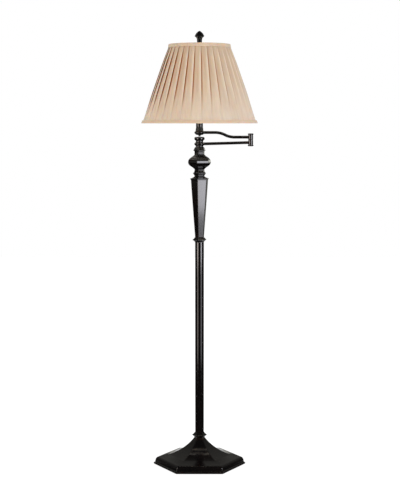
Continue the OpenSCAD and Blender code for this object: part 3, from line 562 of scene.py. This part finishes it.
# a taper up to the shoulder, a cove, the flange's edge, and in to the neck
def vaseOutline(v):
    top, flange, high = v["top"], v["flange"], v["height"]
    shoulder, flangeZ = high - v["shoulder"], high - v["cove"]
    swell = (mix(v["foot"], top, 0.5) + 0.4, shoulder / 2)
    return (bend((v["foot"], 0), swell, (top, shoulder), 10)
            + bend((top + 0.3, flangeZ - 2.4), (top + 0.5, flangeZ - 0.4), (flange, flangeZ), 6)
            + [(flange, flangeZ + 1.6)]
            + bend((flange - 0.7, flangeZ + 2.5), (v["neck"] + 3.4, high - 5),
                   (v["neck"] - 0.6, high), 8))


def ringOutline(r):
    neck, peak = r["neck"], r["peak"]
    return (bend((neck - 0.7, 0), (neck + 0.9, 4.6), (peak, 8.8), 8)
            + [(peak, 9.4)]
            + bend((peak - 0.2, 9.9), (neck + 0.9, 14.4), (neck - 0.7, r["height"]), 8))


# a neck that flares out, the ball below and above its upright band, a neck, and a bead
def ballOutline(b):
    neck, radius, height = b["neck"], b["radius"], b["height"]
    mid = b["middle"] * height
    low, high = mid - 6.7, height - mid - 8.3
    return (bend((neck + 0.9, 0), (neck - 1.3, 1.2), (neck - 0.6, 3.2), 5)
            + bend((neck - 0.6, 3.2), (neck + 0.8, 6.8), (radius * 0.6, mid - low * 0.835), 8)[1:]
            + arc(mid, radius, low, -50, 0, 14)
            + arc(mid, radius, high, 9, 50, 12)
            + bend((radius * 0.585, mid + high * 0.84), (neck + 1.0, height - 8.6),
                   (neck - 0.8, height - 6), 8)
            + bead(neck - 0.8, neck + 0.2, height - 5.8, 5.2, 10)
            + [(neck - 0.8, height)])


# a bead, a flare out to the edge, and the dome
def domeOutline(d):
    neck, radius, high = d["neck"], d["radius"], d["height"]
    return ([(neck - 0.8, 0)] + bead(neck - 0.8, neck + 0.2, 0.2, 3.8, 10)
            + bend((neck - 0.6, 4.3), (neck + 0.8, 5.8), (radius, 6.6), 5)
            + [(radius, 7.2)]
            + bend((radius - 0.5, 8.1), (radius - 3.5, high - 3), (d["top"], high), 10))


for name, node, outline in (("taperVase", "vase", vaseOutline(vase)),
                            ("spindleRing", "spindle_ring", ringOutline(ring)),
                            ("spindleBall", "spindle_ball", ballOutline(ball)),
                            ("spindleDome", "spindle_dome", domeOutline(dome))):
    makeFaceted(name, node, outline, facets["turn"], spindleRidge, 11)
print("spindle made")


# the arms' hole in the hub is given at its two ends, as the distance from the axis and the rise
columnTop = {"capRadius": 17.7, "capHeight": 15.2, "capBore": 5.1, "capBoreTop": 9.4,
             "hubRadius": 17.9, "hubHeight": 15.4, "hubEnd": 13, "hubBore": 7.05,
             "hubHole": ((9.6, 0.27), (24, 0.68))}
arms = {"reach": 175.5, "radius": 5, "wall": 1.2, "sides": 32, "hole": 5.05, "rise": 5,
        "lowerStart": 9.65, "socket": 8.2, "bendStart": 54, "bendRun": 66, "bendSteps": 14,
        "endGap": 1.7}
elbow = {"barrel": 8.5, "barrelHeight": 17.4, "pin": 4, "pinBore": 4.05, "cap": 9.9,
         "capHeight": 4.2, "capBore": 6.2, "capBoreTop": 3.0}
hubZ = footOf("arm_hub") + columnTop["hubHeight"] / 2
armEnd = arms["reach"] - elbow["pin"] - arms["endGap"]


# Turns a round piece. Its bore goes right through, or from below up to the height that blind
# gives, and hole is where an arm's tube enters it: x and z at both ends.
def makeRound(name, node, body, outline, bore=0.0, blind=None, x=0.0, flip=False, edge=0.4,
              hole=None):
    top = outline[-1][1]
    profile = softened(outline, edge)
    if blind is not None:
        profile = [(bore, blind), (bore, profile[0][1])] + profile + [(0, top)]
    elif bore:
        profile = profile + [(bore, top), (bore, profile[0][1]), profile[0]]
    foot = topOf(node) if flip else footOf(node)
    if flip:
        profile = [(r, -z) for r, z in profile]
    piece = turnPiece(name, profile, foot, x=x)
    if hole:
        holeStart, holeEnd = ((holeX, 0, holeZ) for holeX, holeZ in hole)
        drillHole(piece, holeStart, holeEnd, arms["hole"])
    smoothOver(piece)
    standsFor(piece, node, body)


def capOutline(c):
    end, radius, high = c["hubEnd"], c["capRadius"], c["capHeight"]
    return ([(end - 0.8, 0), (end - 0.8, 1.5)]
            + bend((end - 0.3, 2.2), (radius - 1, high * 0.3), (radius, high * 0.5), 8)
            + bend((radius, high * 0.7), (radius - 0.5, high - 1), (radius - 4, high), 8))


def hubOutline(c):
    end, high = c["hubEnd"], c["hubHeight"]
    return [(end, 0)] + bead(end, c["hubRadius"], 1.5, high - 3, 18) + [(end, high)]


def barrelOutline(e):
    radius, high = e["barrel"], e["barrelHeight"]
    return [(radius, 0)] + bead(radius - 0.3, radius, 1, high - 2, 10) + [(radius, high)]


def elbowCapOutline(e):
    radius, high = e["cap"], e["capHeight"]
    return ([(radius - 0.4, 0), (radius, 0.6), (radius, 1.8)]
            + bend((radius - 0.3, 2.2), (radius - 1.5, high), (radius * 0.5, high), 8)
            + [(1.2, high)])


makeRound("columnCap", "column_cap", "stand", capOutline(columnTop), columnTop["capBore"],
          columnTop["capBoreTop"])
makeRound("armHub", "arm_hub", "lower_arm", hubOutline(columnTop), columnTop["hubBore"],
          hole=[(x, hubZ + rise) for x, rise in columnTop["hubHole"]])
for name, node, body, drops in (("elbowLowerBarrel", "elbow_lower_barrel", "lower_arm", (0.3, 0.1)),
                                ("elbowUpperBarrel", "elbow_upper_barrel", "upper_arm", (0, 0))):
    z = footOf(node) + elbow["barrelHeight"] / 2
    makeRound(name, node, body, barrelOutline(elbow), elbow["pinBore"], x=arms["reach"],
              hole=[(arms["reach"] - back, z - drop) for back, drop in zip((14, 5.5), drops)])
for name, node, body, flip in (("elbowTopCap", "elbow_top_cap", "upper_arm", False),
                               ("elbowBottomCap", "elbow_bottom_cap", "lower_arm", True)):
    makeRound(name, node, body, elbowCapOutline(elbow), elbow["capBore"], elbow["capBoreTop"],
              arms["reach"], flip)
print("column top and elbow made")


cup = {"radius": 17.9, "neck": 11.9, "height": 42, "armHeight": 8.7, "waist": 16.5, "bore": 5.1,
       "hole": (8.0, 24)}
button = {"edge": 0.2, "outline": [(2.9, 0), (3.5, 0.25), (3.9, 0.9), (3.9, 2.0), (3.9, 4.3),
                                   (3.6, 5), (3.4, 5), (3.4, 11), (0, 11)]}
cupArmZ = footOf("socket_cup") + cup["armHeight"]


# a bowl, its rounded edge, in to the waist, and straight up the neck
def cupOutline(c):
    radius, neck = c["radius"], c["neck"]
    return (bend((8.5, 0), (13, 1), (radius - 1.6, 6), 8)
            + bend((radius, 7.5), (radius + 0.3, 10.5), (radius - 2, 12), 7)
            + bend((neck + 2.2, 13.5), (neck + 1, c["waist"]), (neck + 0.9, 22), 7)
            + [(neck, 26.2), (neck - 0.1, 27.6), (neck, c["height"])])


makeRound("socketCup", "socket_cup", "upper_arm", cupOutline(cup), cup["bore"],
          hole=[(x, cupArmZ) for x in cup["hole"]])
makeRound("cupButton", "cup_button", "upper_arm", button["outline"], edge=button["edge"])


def finishTube(piece, node, body):
    closeShape()
    giveWall(piece, arms["wall"])
    smoothOver(piece)
    standsFor(piece, node, body)


# The upper arm's tube: a ring at the cup, spun down and level again by two equal arcs
def makeUpperArm(a):
    elbowZ = footOf("elbow_upper_barrel") + elbow["barrelHeight"] / 2
    middleX = a["bendStart"] + a["bendRun"]
    sweep = 2 * math.atan((cupArmZ - elbowZ) / a["bendRun"])
    curve = a["bendRun"] / (2 * math.sin(sweep))
    piece = startRing("upperArmTube", (a["socket"], 0, cupArmZ), a["radius"], a["sides"],
                      (0, math.pi / 2, 0))
    drawOut(a["bendStart"] - a["socket"], 0)
    for turn, x, z in ((-sweep, a["bendStart"], cupArmZ - curve), (sweep, middleX, elbowZ + curve)):
        bpy.ops.mesh.spin(steps=a["bendSteps"], angle=turn, axis=(0, 1, 0),
                          center=(x * mm, 0, z * mm))
    drawOut(armEnd - middleX, 0)
    finishTube(piece, "upper_arm_tube", "upper_arm")


# The lower arm's tube: a ring in the hub, drawn out to the elbow a little uphill
def makeLowerArm(a):
    slope, startX = a["rise"] / a["reach"], a["lowerStart"]
    piece = startRing("lowerArmTube", (startX, 0, hubZ + slope * startX), a["radius"], a["sides"],
                      (0, math.pi / 2 - math.atan(slope), 0))
    lengths = 6
    run = (armEnd - startX) / lengths
    for _ in range(lengths):
        drawOut(run, run * slope)
    finishTube(piece, "lower_arm_tube", "lower_arm")


makeUpperArm(arms)
makeLowerArm(arms)
print("cup and arms made")


pole = {"radius": 15.2, "wall": 1.5, "length": 333.5, "edge": 0.35, "steps": 8}


# One pole tube, the outer edges of its ends just broken, so that the joint shows
def makePole(name, node, p):
    outer, inner, high, edge = p["radius"], p["radius"] - p["wall"], p["length"], p["edge"]
    end = (outer - edge, 0)
    side = [(outer, mix(edge, high - edge, i / p["steps"])) for i in range(p["steps"] + 1)]
    profile = [end] + side + [(outer - edge, high), (inner, high), (inner, 0), end]
    piece = turnPiece(name, profile, footOf(node))
    smoothOver(piece)
    standsFor(piece, node, "stand")


makePole("lowerPole", "lower_pole", pole)
makePole("upperPole", "upper_pole", pole)

finial = {"height": 55.5, "radius": 16.2, "neck": 8.8, "widest": 0.7, "screw": 3.7,
          "screwDepth": 12, "edge": 0.5, "ridge": 0.7, "ridgeInside": 4.4}


# a foot, the neck, out to the widest edge, and up to the point
def makeFinial(f):
    high, radius, neck = f["height"], f["radius"], f["neck"]
    edgeZ = f["widest"] * high
    outline = ([(neck + 1, 0), (neck + 1, 2.2)]
               + bend((neck - 0.5, 4.5), (neck - 0.7, 0.2 * high), (neck, 0.42 * high), 8)
               + bend((neck + 0.3, edgeZ - 12), (neck + 1.2, edgeZ - 6),
                      (radius - 0.7, edgeZ - 3), 9)
               + [(radius, edgeZ - 1.5), (radius, edgeZ)]
               + bend((radius - 0.6, edgeZ + 1.2), (0.66 * radius, 0.92 * high),
                      (0.9, high - 0.12), 12)
               + [(0, high)])
    profile = [(f["screw"], f["screwDepth"]), (f["screw"], 0)] + softened(outline, f["edge"])
    piece = turnPiece("facetedFinial", profile, footOf("finial"), 6)
    bevelRidges(piece, f["ridge"], f["ridgeInside"])
    smoothFacets(piece)
    standsFor(piece, "finial", "upper_arm")


makeFinial(finial)
print("poles and finial made")


# The pleats lie over the liner, with every crest to the right of its fold. Lengths are in mm and
# drift and waver in degrees. Pairs are where on the height a change starts and how long it takes.
shade = {
    "height": 268.0, "linerTop": 99.5, "linerBottom": 194.8, "gap": 0.45, "thickness": 0.32,
    "pleats": 34, "firstFold": 2.1, "seed": 7, "cutWidth": 1448.0, "cutHeight": 281.0,
    "slant": 1.06, "rings": 34, "topTrim": 12, "trimRings": (-1, 0.3, 1.5, 3, 4.5, 6),
    "standFlat": 0.45, "standBottom": 3.6, "standTop": 4.4, "standOver": (0.05, 0.36),
    "sink": 0.42, "sinkOver": (0.76, 0.18), "press": 5, "pressed": 1.9, "underTrim": 4.2,
    "drift": 0.20, "waver": 0.10, "fuller": 0.09, "fullWaver": 0.05,
    # how strong the painted shade in the folds is and where it fades in and out, how deep the
    # painted shade is under the folds, and the faint painted shade down a panel's middle
    "leastCreaseShade": 0.02, "creaseShadeOver": (0.15, 0.35), "topFade": 0.72, "fadeOver": (0.80, 0.14),
    "underShadeFoot": 0.12, "underShadeMore": 0.80, "underShadeOver": (0.10, 0.30), "midPanelShade": 0.10,
    # strength of the painted highlight along the crests
    "crest": 0.85,
}

# one pleat: how far along the panel, and how far out, up to the crest
panelRise = [(0.0, 0.0), (0.06, 0.03), (0.13, 0.11), (0.22, 0.27), (0.33, 0.47), (0.45, 0.66),
             (0.58, 0.81), (0.71, 0.915), (0.82, 0.97), (0.91, 1.0), (0.97, 1.0)]


def riseAt(f):
    for (f0, s0), (f1, s1) in zip(panelRise, panelRise[1:]):
        if f <= f1:
            return mix(s0, s1, (f - f0) / (f1 - f0))
    return 1.0


# how far the crests stand out: flat at the foot, less high up, pressed flat at the top trim
def standAt(s, z):
    t, trimZ = z / s["height"], s["height"] - s["topTrim"]
    if z > trimZ:
        return mix(s["pressed"], s["underTrim"], (z - trimZ) / s["topTrim"])
    full = mix(s["standBottom"], s["standTop"], t)
    stand = mix(s["standFlat"], full, easeAt(t, *s["standOver"]))
    stand *= 1 - s["sink"] * easeAt(t, *s["sinkOver"])
    if z > trimZ - s["press"]:
        stand = mix(stand, s["pressed"], easeAt((z - trimZ + s["press"]) / s["press"]))
    return stand


# One ring of the cloth: the liner's radius with the gap, how far the crests stand out, how strong
# the painted fold shade and crest highlight are, and each pleat's points by angle, rise and painted
# crease shade
def foldRing(s, z, swing):
    t = z / s["height"]
    low, stand = mix(s["linerBottom"], s["linerTop"], t) + s["gap"], standAt(s, z)
    radius, count = low + stand, s["pleats"]
    pitch = 2 * math.pi * radius / count
    under = max(0.8, (s["cutWidth"] / count - pitch) / 2)
    soft = math.sin(math.pi * min(1.0, max(0.0, t))) ** 0.7
    # how strong the painted fold shade is at this height, and how deep it is under the folds
    shadeAndHighlightStrength = mix(s["leastCreaseShade"], 1, easeAt(t, *s["creaseShadeOver"]))
    shadeAndHighlightStrength *= 1 - s["topFade"] * easeAt(t, *s["fadeOver"])
    underFoldShade = s["underShadeFoot"] + s["underShadeMore"] * easeAt(t, *s["underShadeOver"])

    def foldAngle(k):
        mine = swing[k % count]
        return (s["firstFold"] + 360 / count * k + soft * s["drift"] * mine[0]
                + soft * s["waver"] * mine[1] * math.sin(7 * t))

    rows = []
    for k in range(count):
        mine, fold, nextFold = swing[k], foldAngle(k), foldAngle(k + 1)
        full = 1 + s["fuller"] * mine[2] * soft + s["fullWaver"] * mine[3] * math.sin(5 * t + k)
        inner = min(riseAt(1 - under / pitch) * full - 0.26, 0.34)
        row = []

        def addPoint(length, rise, creaseShade):                     # so far back from the next fold
            row.append((nextFold - math.degrees(length / radius), rise, creaseShade))

        for f, rise in panelRise:                               # the panel you see
            # painted shade: a faint line down the panel's middle, and the crease by the fold
            middle = s["midPanelShade"] * mine[1] ** 2 * math.exp(-((f - 0.45) / 0.09) ** 2)
            creaseShade = (1 - easeAt(f, 0.04, 0.19)) * shadeAndHighlightStrength + middle
            row.append((fold + (nextFold - fold) * f, rise * full, creaseShade))
        addPoint(-0.10, 0.96 * full, 0.0)                       # round the crest
        addPoint(-0.16, 0.90 * full, 0.25)
        # painted shade deepens back under the crest and along the liner
        for v in (0.03, 0.25, 0.5, 0.75, 0.95):                 # back under it
            addPoint(v * under, mix(0.80 * full, inner, easeAt(v)), underFoldShade * easeAt(1.6 * v))
        addPoint(under, inner * 0.55, underFoldShade)                   # round the inner fold
        for v in (0.9, 0.5, 0.2):                               # and along the liner again
            addPoint(v * under, 0.03 * v, 1.0)
        rows.append(row)
    return low, stand, shadeAndHighlightStrength, rows


# The cloth's own map, in metres of the cut; the last pleat meets the first at a seam
def mapPleats(mesh, across, along, count, width):
    cut = mesh.uv_layers.new(name="cut")
    for face in mesh.polygons:
        columns = [mesh.loops[c].vertex_index % count for c in face.loop_indices]
        seam = 0 in columns and count - 1 in columns
        for c, column in zip(face.loop_indices, columns):
            v = mesh.loops[c].vertex_index
            cut.data[c].uv = (across[v] + (width if seam and column == 0 else 0), along[v])


def makePleats(s):
    chance = random.Random(s["seed"])
    foot = footOf("shade_liner") + 0.05
    swing = [[chance.uniform(-1, 1) for _ in range(4)] for _ in range(s["pleats"])]
    levels = [mix(0, s["height"] - 0.1, i / (s["rings"] - 1)) for i in range(s["rings"])]
    levels = sorted(levels + [s["height"] - s["topTrim"] - dip for dip in s["trimRings"]])
    points, foldShadeValues, crestHighlights, across, along = [], [], [], [], []
    for z in levels:
        low, stand, shadeAndHighlightStrength, rows = foldRing(s, z, swing)
        for k, row in enumerate(rows):
            for n, (angle, rise, creaseShade) in enumerate(row):
                a, r = math.radians(angle), low + stand * rise
                points.append((r * math.sin(a) * mm, -r * math.cos(a) * mm, (foot + z) * mm))
                foldShadeValues.append(creaseShade)
                # a painted highlight along each panel's crest side, as strong as the painted fold
                # shade there
                onPanel = n < len(panelRise) + 1
                crestHighlights.append(s["crest"] * shadeAndHighlightStrength * easeAt(n, 6, 4) if onPanel else 0.0)
                across.append((k + n / len(row)) * s["cutWidth"] / s["pleats"] * mm)
                along.append(z * s["slant"] * mm)
    count = len(points) // len(levels)
    faces = []
    for j in range(len(levels) - 1):
        here, above = j * count, (j + 1) * count
        for i in range(count):
            beside = (i + 1) % count
            faces.append((here + i, here + beside, above + beside, above + i))
    mesh = bpy.data.meshes.new("pleatedCloth")
    mesh.from_pydata(points, [], faces)
    # the painted fold shade and the painted crest highlight go onto the cloth's points for its
    # shader
    for name, values in (("paintedFoldShade", foldShadeValues), ("paintedCrestHighlight", crestHighlights)):
        mesh.attributes.new(name, "FLOAT", "POINT").data.foreach_set("value", values)
    mapPleats(mesh, across, along, count, s["cutWidth"] * mm)
    piece = bpy.data.objects.new("pleatedCloth", mesh)
    bpy.context.scene.collection.objects.link(piece)
    giveWall(piece, s["thickness"], 0)
    smoothOver(piece, 60)
    standsFor(piece, "pleated_fabric", "upper_arm", "pleated_cloth")


makePleats(shade)
print("pleats folded")


# The tapes over the shade's edges. What is turned in is given as the radius and the distance
# from the edge, and width is the tape's own.
tape = {"thickness": 0.55, "segments": 144}
topTrim = {"radius": 105.5, "height": 12.0, "width": 21,
           "turnedIn": [(102, 0.1), (100.2, 0.35), (99.2, 0.6), (98.85, 1.0)]}
bottomTrim = {"radius": 199.7, "height": 10.0, "slope": 0.3515, "width": 19,
              "turnedIn": [(196.6, 0.02), (195.0, 0.02), (194.0, 0.05), (193.8, 0.15)]}


def topSection(t):
    r, high = t["radius"], t["height"]
    return ([(r + 1.2, 0.25), (r + 1.6, 0.0), (r + 1.7, 0.8), (r + 1.4, 3), (r + 0.8, 7),
             (r + 0.1, high - 1.6)]
            + bend((r - 0.1, high - 0.9), (r - 0.4, high + 0.1), (r - 1.6, high), 4)
            + [(inner, high - below) for inner, below in t["turnedIn"]])


def bottomSection(t):
    r, high, slope = t["radius"], t["height"], t["slope"]
    return ([(r - high * slope - 0.2, high), (r - high * slope + 0.1, high + 0.1),
             (r - 7 * slope, 7), (r - 3.5 * slope, 3.5), (r - 0.9 * slope, 0.9)]
            + bend((r - 0.25, 0.5), (r - 0.5, 0.02), (r - 1.3, 0.02), 4)
            + t["turnedIn"])


# The tape's own map: round the rim and across the tape, in metres
def mapTape(mesh, section, z):
    lengths = [0.0]
    for (r0, h0), (r1, h1) in zip(section, section[1:]):
        lengths.append(lengths[-1] + math.hypot(r1 - r0, h1 - h0))
    cut = mesh.uv_layers.new(name="cut")
    mesh.uv_layers.active = cut
    for face in mesh.polygons:
        centre = math.atan2(face.center.y, face.center.x)
        for c in face.loop_indices:
            p = mesh.vertices[mesh.loops[c].vertex_index].co
            turn = math.atan2(p.y, p.x)
            turn += 2 * math.pi * round((centre - turn) / (2 * math.pi))
            away = [math.hypot(p.xy.length / mm - r, p.z / mm - z - h) for r, h in section]
            cut.data[c].uv = (turn * section[0][0] * mm, lengths[away.index(min(away))] * mm)


# A tape folded over the shade's edge: outer face, round the edge, and a little way inside
def makeTrim(name, node, section):
    z = footOf(node)
    piece = turnPiece(name, section, z, tape["segments"], -90, filled=False)
    mapTape(piece.data, section, z)
    giveWall(piece, tape["thickness"])
    smoothOver(piece, 50)
    standsFor(piece, node, "upper_arm", "trim_cloth")


makeTrim("topTrim", "top_trim", topSection(topTrim))
makeTrim("bottomTrim", "bottom_trim", bottomSection(bottomTrim))
print("trims made")


# one shader for the rays named, and another for the rest
def forRays(tree, rays, these, rest):
    mixed = tree.nodes.new("ShaderNodeMixShader")
    for socket, source in zip(mixed.inputs, (rays, rest, these)):
        tree.links.new(source, socket)
    return mixed.outputs[0]


# Pale paper, white to the camera with the lamp's shadow on it. What the metal mirrors of it is
# darker: from near to far behind the lamp, and to its sides, each as a span.
paper = {
    "size": 14.0, "white": 0.84, "whiteReach": (0.3, 1.6), "shadow": 0.3, "bounce": 0.6,
    "near": (0.0, 0.25, 0.015, 0.62), "far": (0.7, 2.2, 1.0, 0.03),
    "aside": (0.16, 0.45, 1.0, 0.03),
}


def makeFloor(s):
    dropSelection()
    bpy.ops.mesh.primitive_plane_add(size=s["size"], location=(0, 0, 0))
    floor = bpy.context.object
    floor.name = "studioFloor"
    look = bpy.data.materials.new("pale paper")
    look.use_nodes = True
    tree = look.node_tree
    tree.nodes.clear()
    new, link = tree.nodes.new, tree.links.new

    def matte(grey):
        diffuse = new("ShaderNodeBsdfDiffuse")
        diffuse.inputs["Color"].default_value = (grey, grey, grey, 1)
        return diffuse.outputs[0]

    def glowing(strength):
        emission = new("ShaderNodeEmission")
        link(strength, emission.inputs["Strength"])
        return emission.outputs[0]

    place = new("ShaderNodeTexCoord").outputs["Object"]
    reach, split = new("ShaderNodeVectorMath"), new("ShaderNodeSeparateXYZ")
    reach.operation = "LENGTH"
    link(place, reach.inputs[0])
    link(place, split.inputs[0])
    white = span(tree, reach.outputs["Value"], *s["whiteReach"], s["white"], 1.0)
    behind = times(tree, *(span(tree, split.outputs["Y"], *s[k]) for k in ("near", "far")))
    aside = span(tree, sums(tree, split.outputs["X"], 0, "ABSOLUTE"), *s["aside"])
    seen = new("ShaderNodeAddShader")
    link(matte(s["shadow"]), seen.inputs[0])
    link(glowing(white), seen.inputs[1])
    rays = new("ShaderNodeLightPath").outputs
    unseen = forRays(tree, rays["Is Glossy Ray"], glowing(times(tree, behind, aside)),
                     matte(s["bounce"]))
    link(forRays(tree, rays["Is Camera Ray"], seen.outputs[0], unseen),
         new("ShaderNodeOutputMaterial").inputs["Surface"])
    floor.data.materials.append(look)


# The room: white to the camera, an even fill from left to right, and patches for the metal to
# mirror. A patch is its glow and the edges it fades over: which way, where it is gone, where it
# is full, and what is left of it where it is gone.
room = {
    "ambient": 0.015, "tone": (1, 0.985, 0.90), "fill": (0.5499, 0.6298),
    "dome": (0.08, ("y", -0.15, 0.25), ("z", 0.08, 0.30), ("z", 0.95, 0.70),
             ("aside", 0.92, 0.5, 0.35)),
    "rear": (0.42, ("aside", 0.25, 0.12), ("y", 0.3, 0.6), ("z", -0.03, 0.0), ("z", 0.14, 0.08)),
    "panel": (1.0, ("x", 0.27, 0.33), ("x", 0.54, 0.46), ("y", 0.3, 0.6),
              ("z", -0.045, -0.025), ("z", 0.18, 0.09)),
    "under": (0.15, ("x", 0.27, 0.33), ("x", 0.54, 0.46), ("y", 0.3, 0.6), ("z", -0.025, -0.045)),
    "wash": (0.12, ("x", -0.85, -0.98), ("z", -0.35, -0.1), ("z", 0.4, 0.15)),
}


def makeWorld(s):
    world = bpy.data.worlds.new("studio")
    bpy.context.scene.world = world
    world.use_nodes = True
    tree = world.node_tree
    tree.nodes.clear()
    new, link = tree.nodes.new, tree.links.new
    split = new("ShaderNodeSeparateXYZ")
    link(new("ShaderNodeTexCoord").outputs["Generated"], split.inputs[0])
    ways = {k.lower(): split.outputs[k] for k in "XYZ"}
    ways["aside"] = sums(tree, ways["x"], 0, "ABSOLUTE")
    glow = s["ambient"]
    for name in ("dome", "rear", "panel", "under", "wash"):
        patch, *edges = s[name]
        for way, *limits in edges:
            patch = times(tree, span(tree, ways[way], *limits), patch)
        glow = sums(tree, patch, glow)

    def background(colour, strength=None):
        light = new("ShaderNodeBackground")
        light.inputs["Color"].default_value = (*colour, 1)
        if strength:
            link(strength, light.inputs["Strength"])
        return light.outputs[0]

    white = (1, 1, 1)
    rays = new("ShaderNodeLightPath").outputs
    fill = background(white, span(tree, ways["x"], -1, 1, *s["fill"]))
    lit = forRays(tree, rays["Is Glossy Ray"], background(s["tone"], glow), fill)
    seen = sums(tree, rays["Is Camera Ray"], rays["Is Transmission Ray"], "MAXIMUM")
    link(forRays(tree, seen, background(white), lit),
         new("ShaderNodeOutputWorld").inputs["Surface"])


# a softbox on each side, with a dimmer skirt below it, so that its light fades out downwards
softboxes = {
    "size": (1.0, 1.27), "skirt": (1.0, 0.49), "distance": 2.0, "height": 1.125,
    "left": {"angle": -47, "radiance": 4.25, "dimmed": 0.36, "tone": (1.07, 0.95, 0.88)},
    "right": {"angle": 47, "radiance": 5.1, "dimmed": 0.26, "tone": (1.0, 0.99, 1.055)},
}


def makeSoftbox(name, size, height, angle, radiance, tone):
    light = bpy.data.lights.new(name, "AREA")
    light.shape = "RECTANGLE"
    light.size, light.size_y = size
    light.energy = radiance * math.pi * light.size * light.size_y
    light.color = tone
    lamp = bpy.data.objects.new(name, light)
    a, away = math.radians(angle), softboxes["distance"]
    lamp.location = (away * math.sin(a), -away * math.cos(a), height)
    lamp.rotation_euler = (math.pi / 2, 0, a)
    lamp.visible_camera = False
    bpy.context.scene.collection.objects.link(lamp)


makeFloor(paper)
makeWorld(room)
skirtHeight = softboxes["height"] - (softboxes["size"][1] + softboxes["skirt"][1]) / 2
for side in ("left", "right"):
    box = softboxes[side]
    makeSoftbox(side + "Softbox", softboxes["size"], softboxes["height"], box["angle"],
                box["radiance"], box["tone"])
    makeSoftbox(side + "Skirt", softboxes["skirt"], skirtHeight, box["angle"],
                box["radiance"] * box["dimmed"], box["tone"])
print("studio lit")
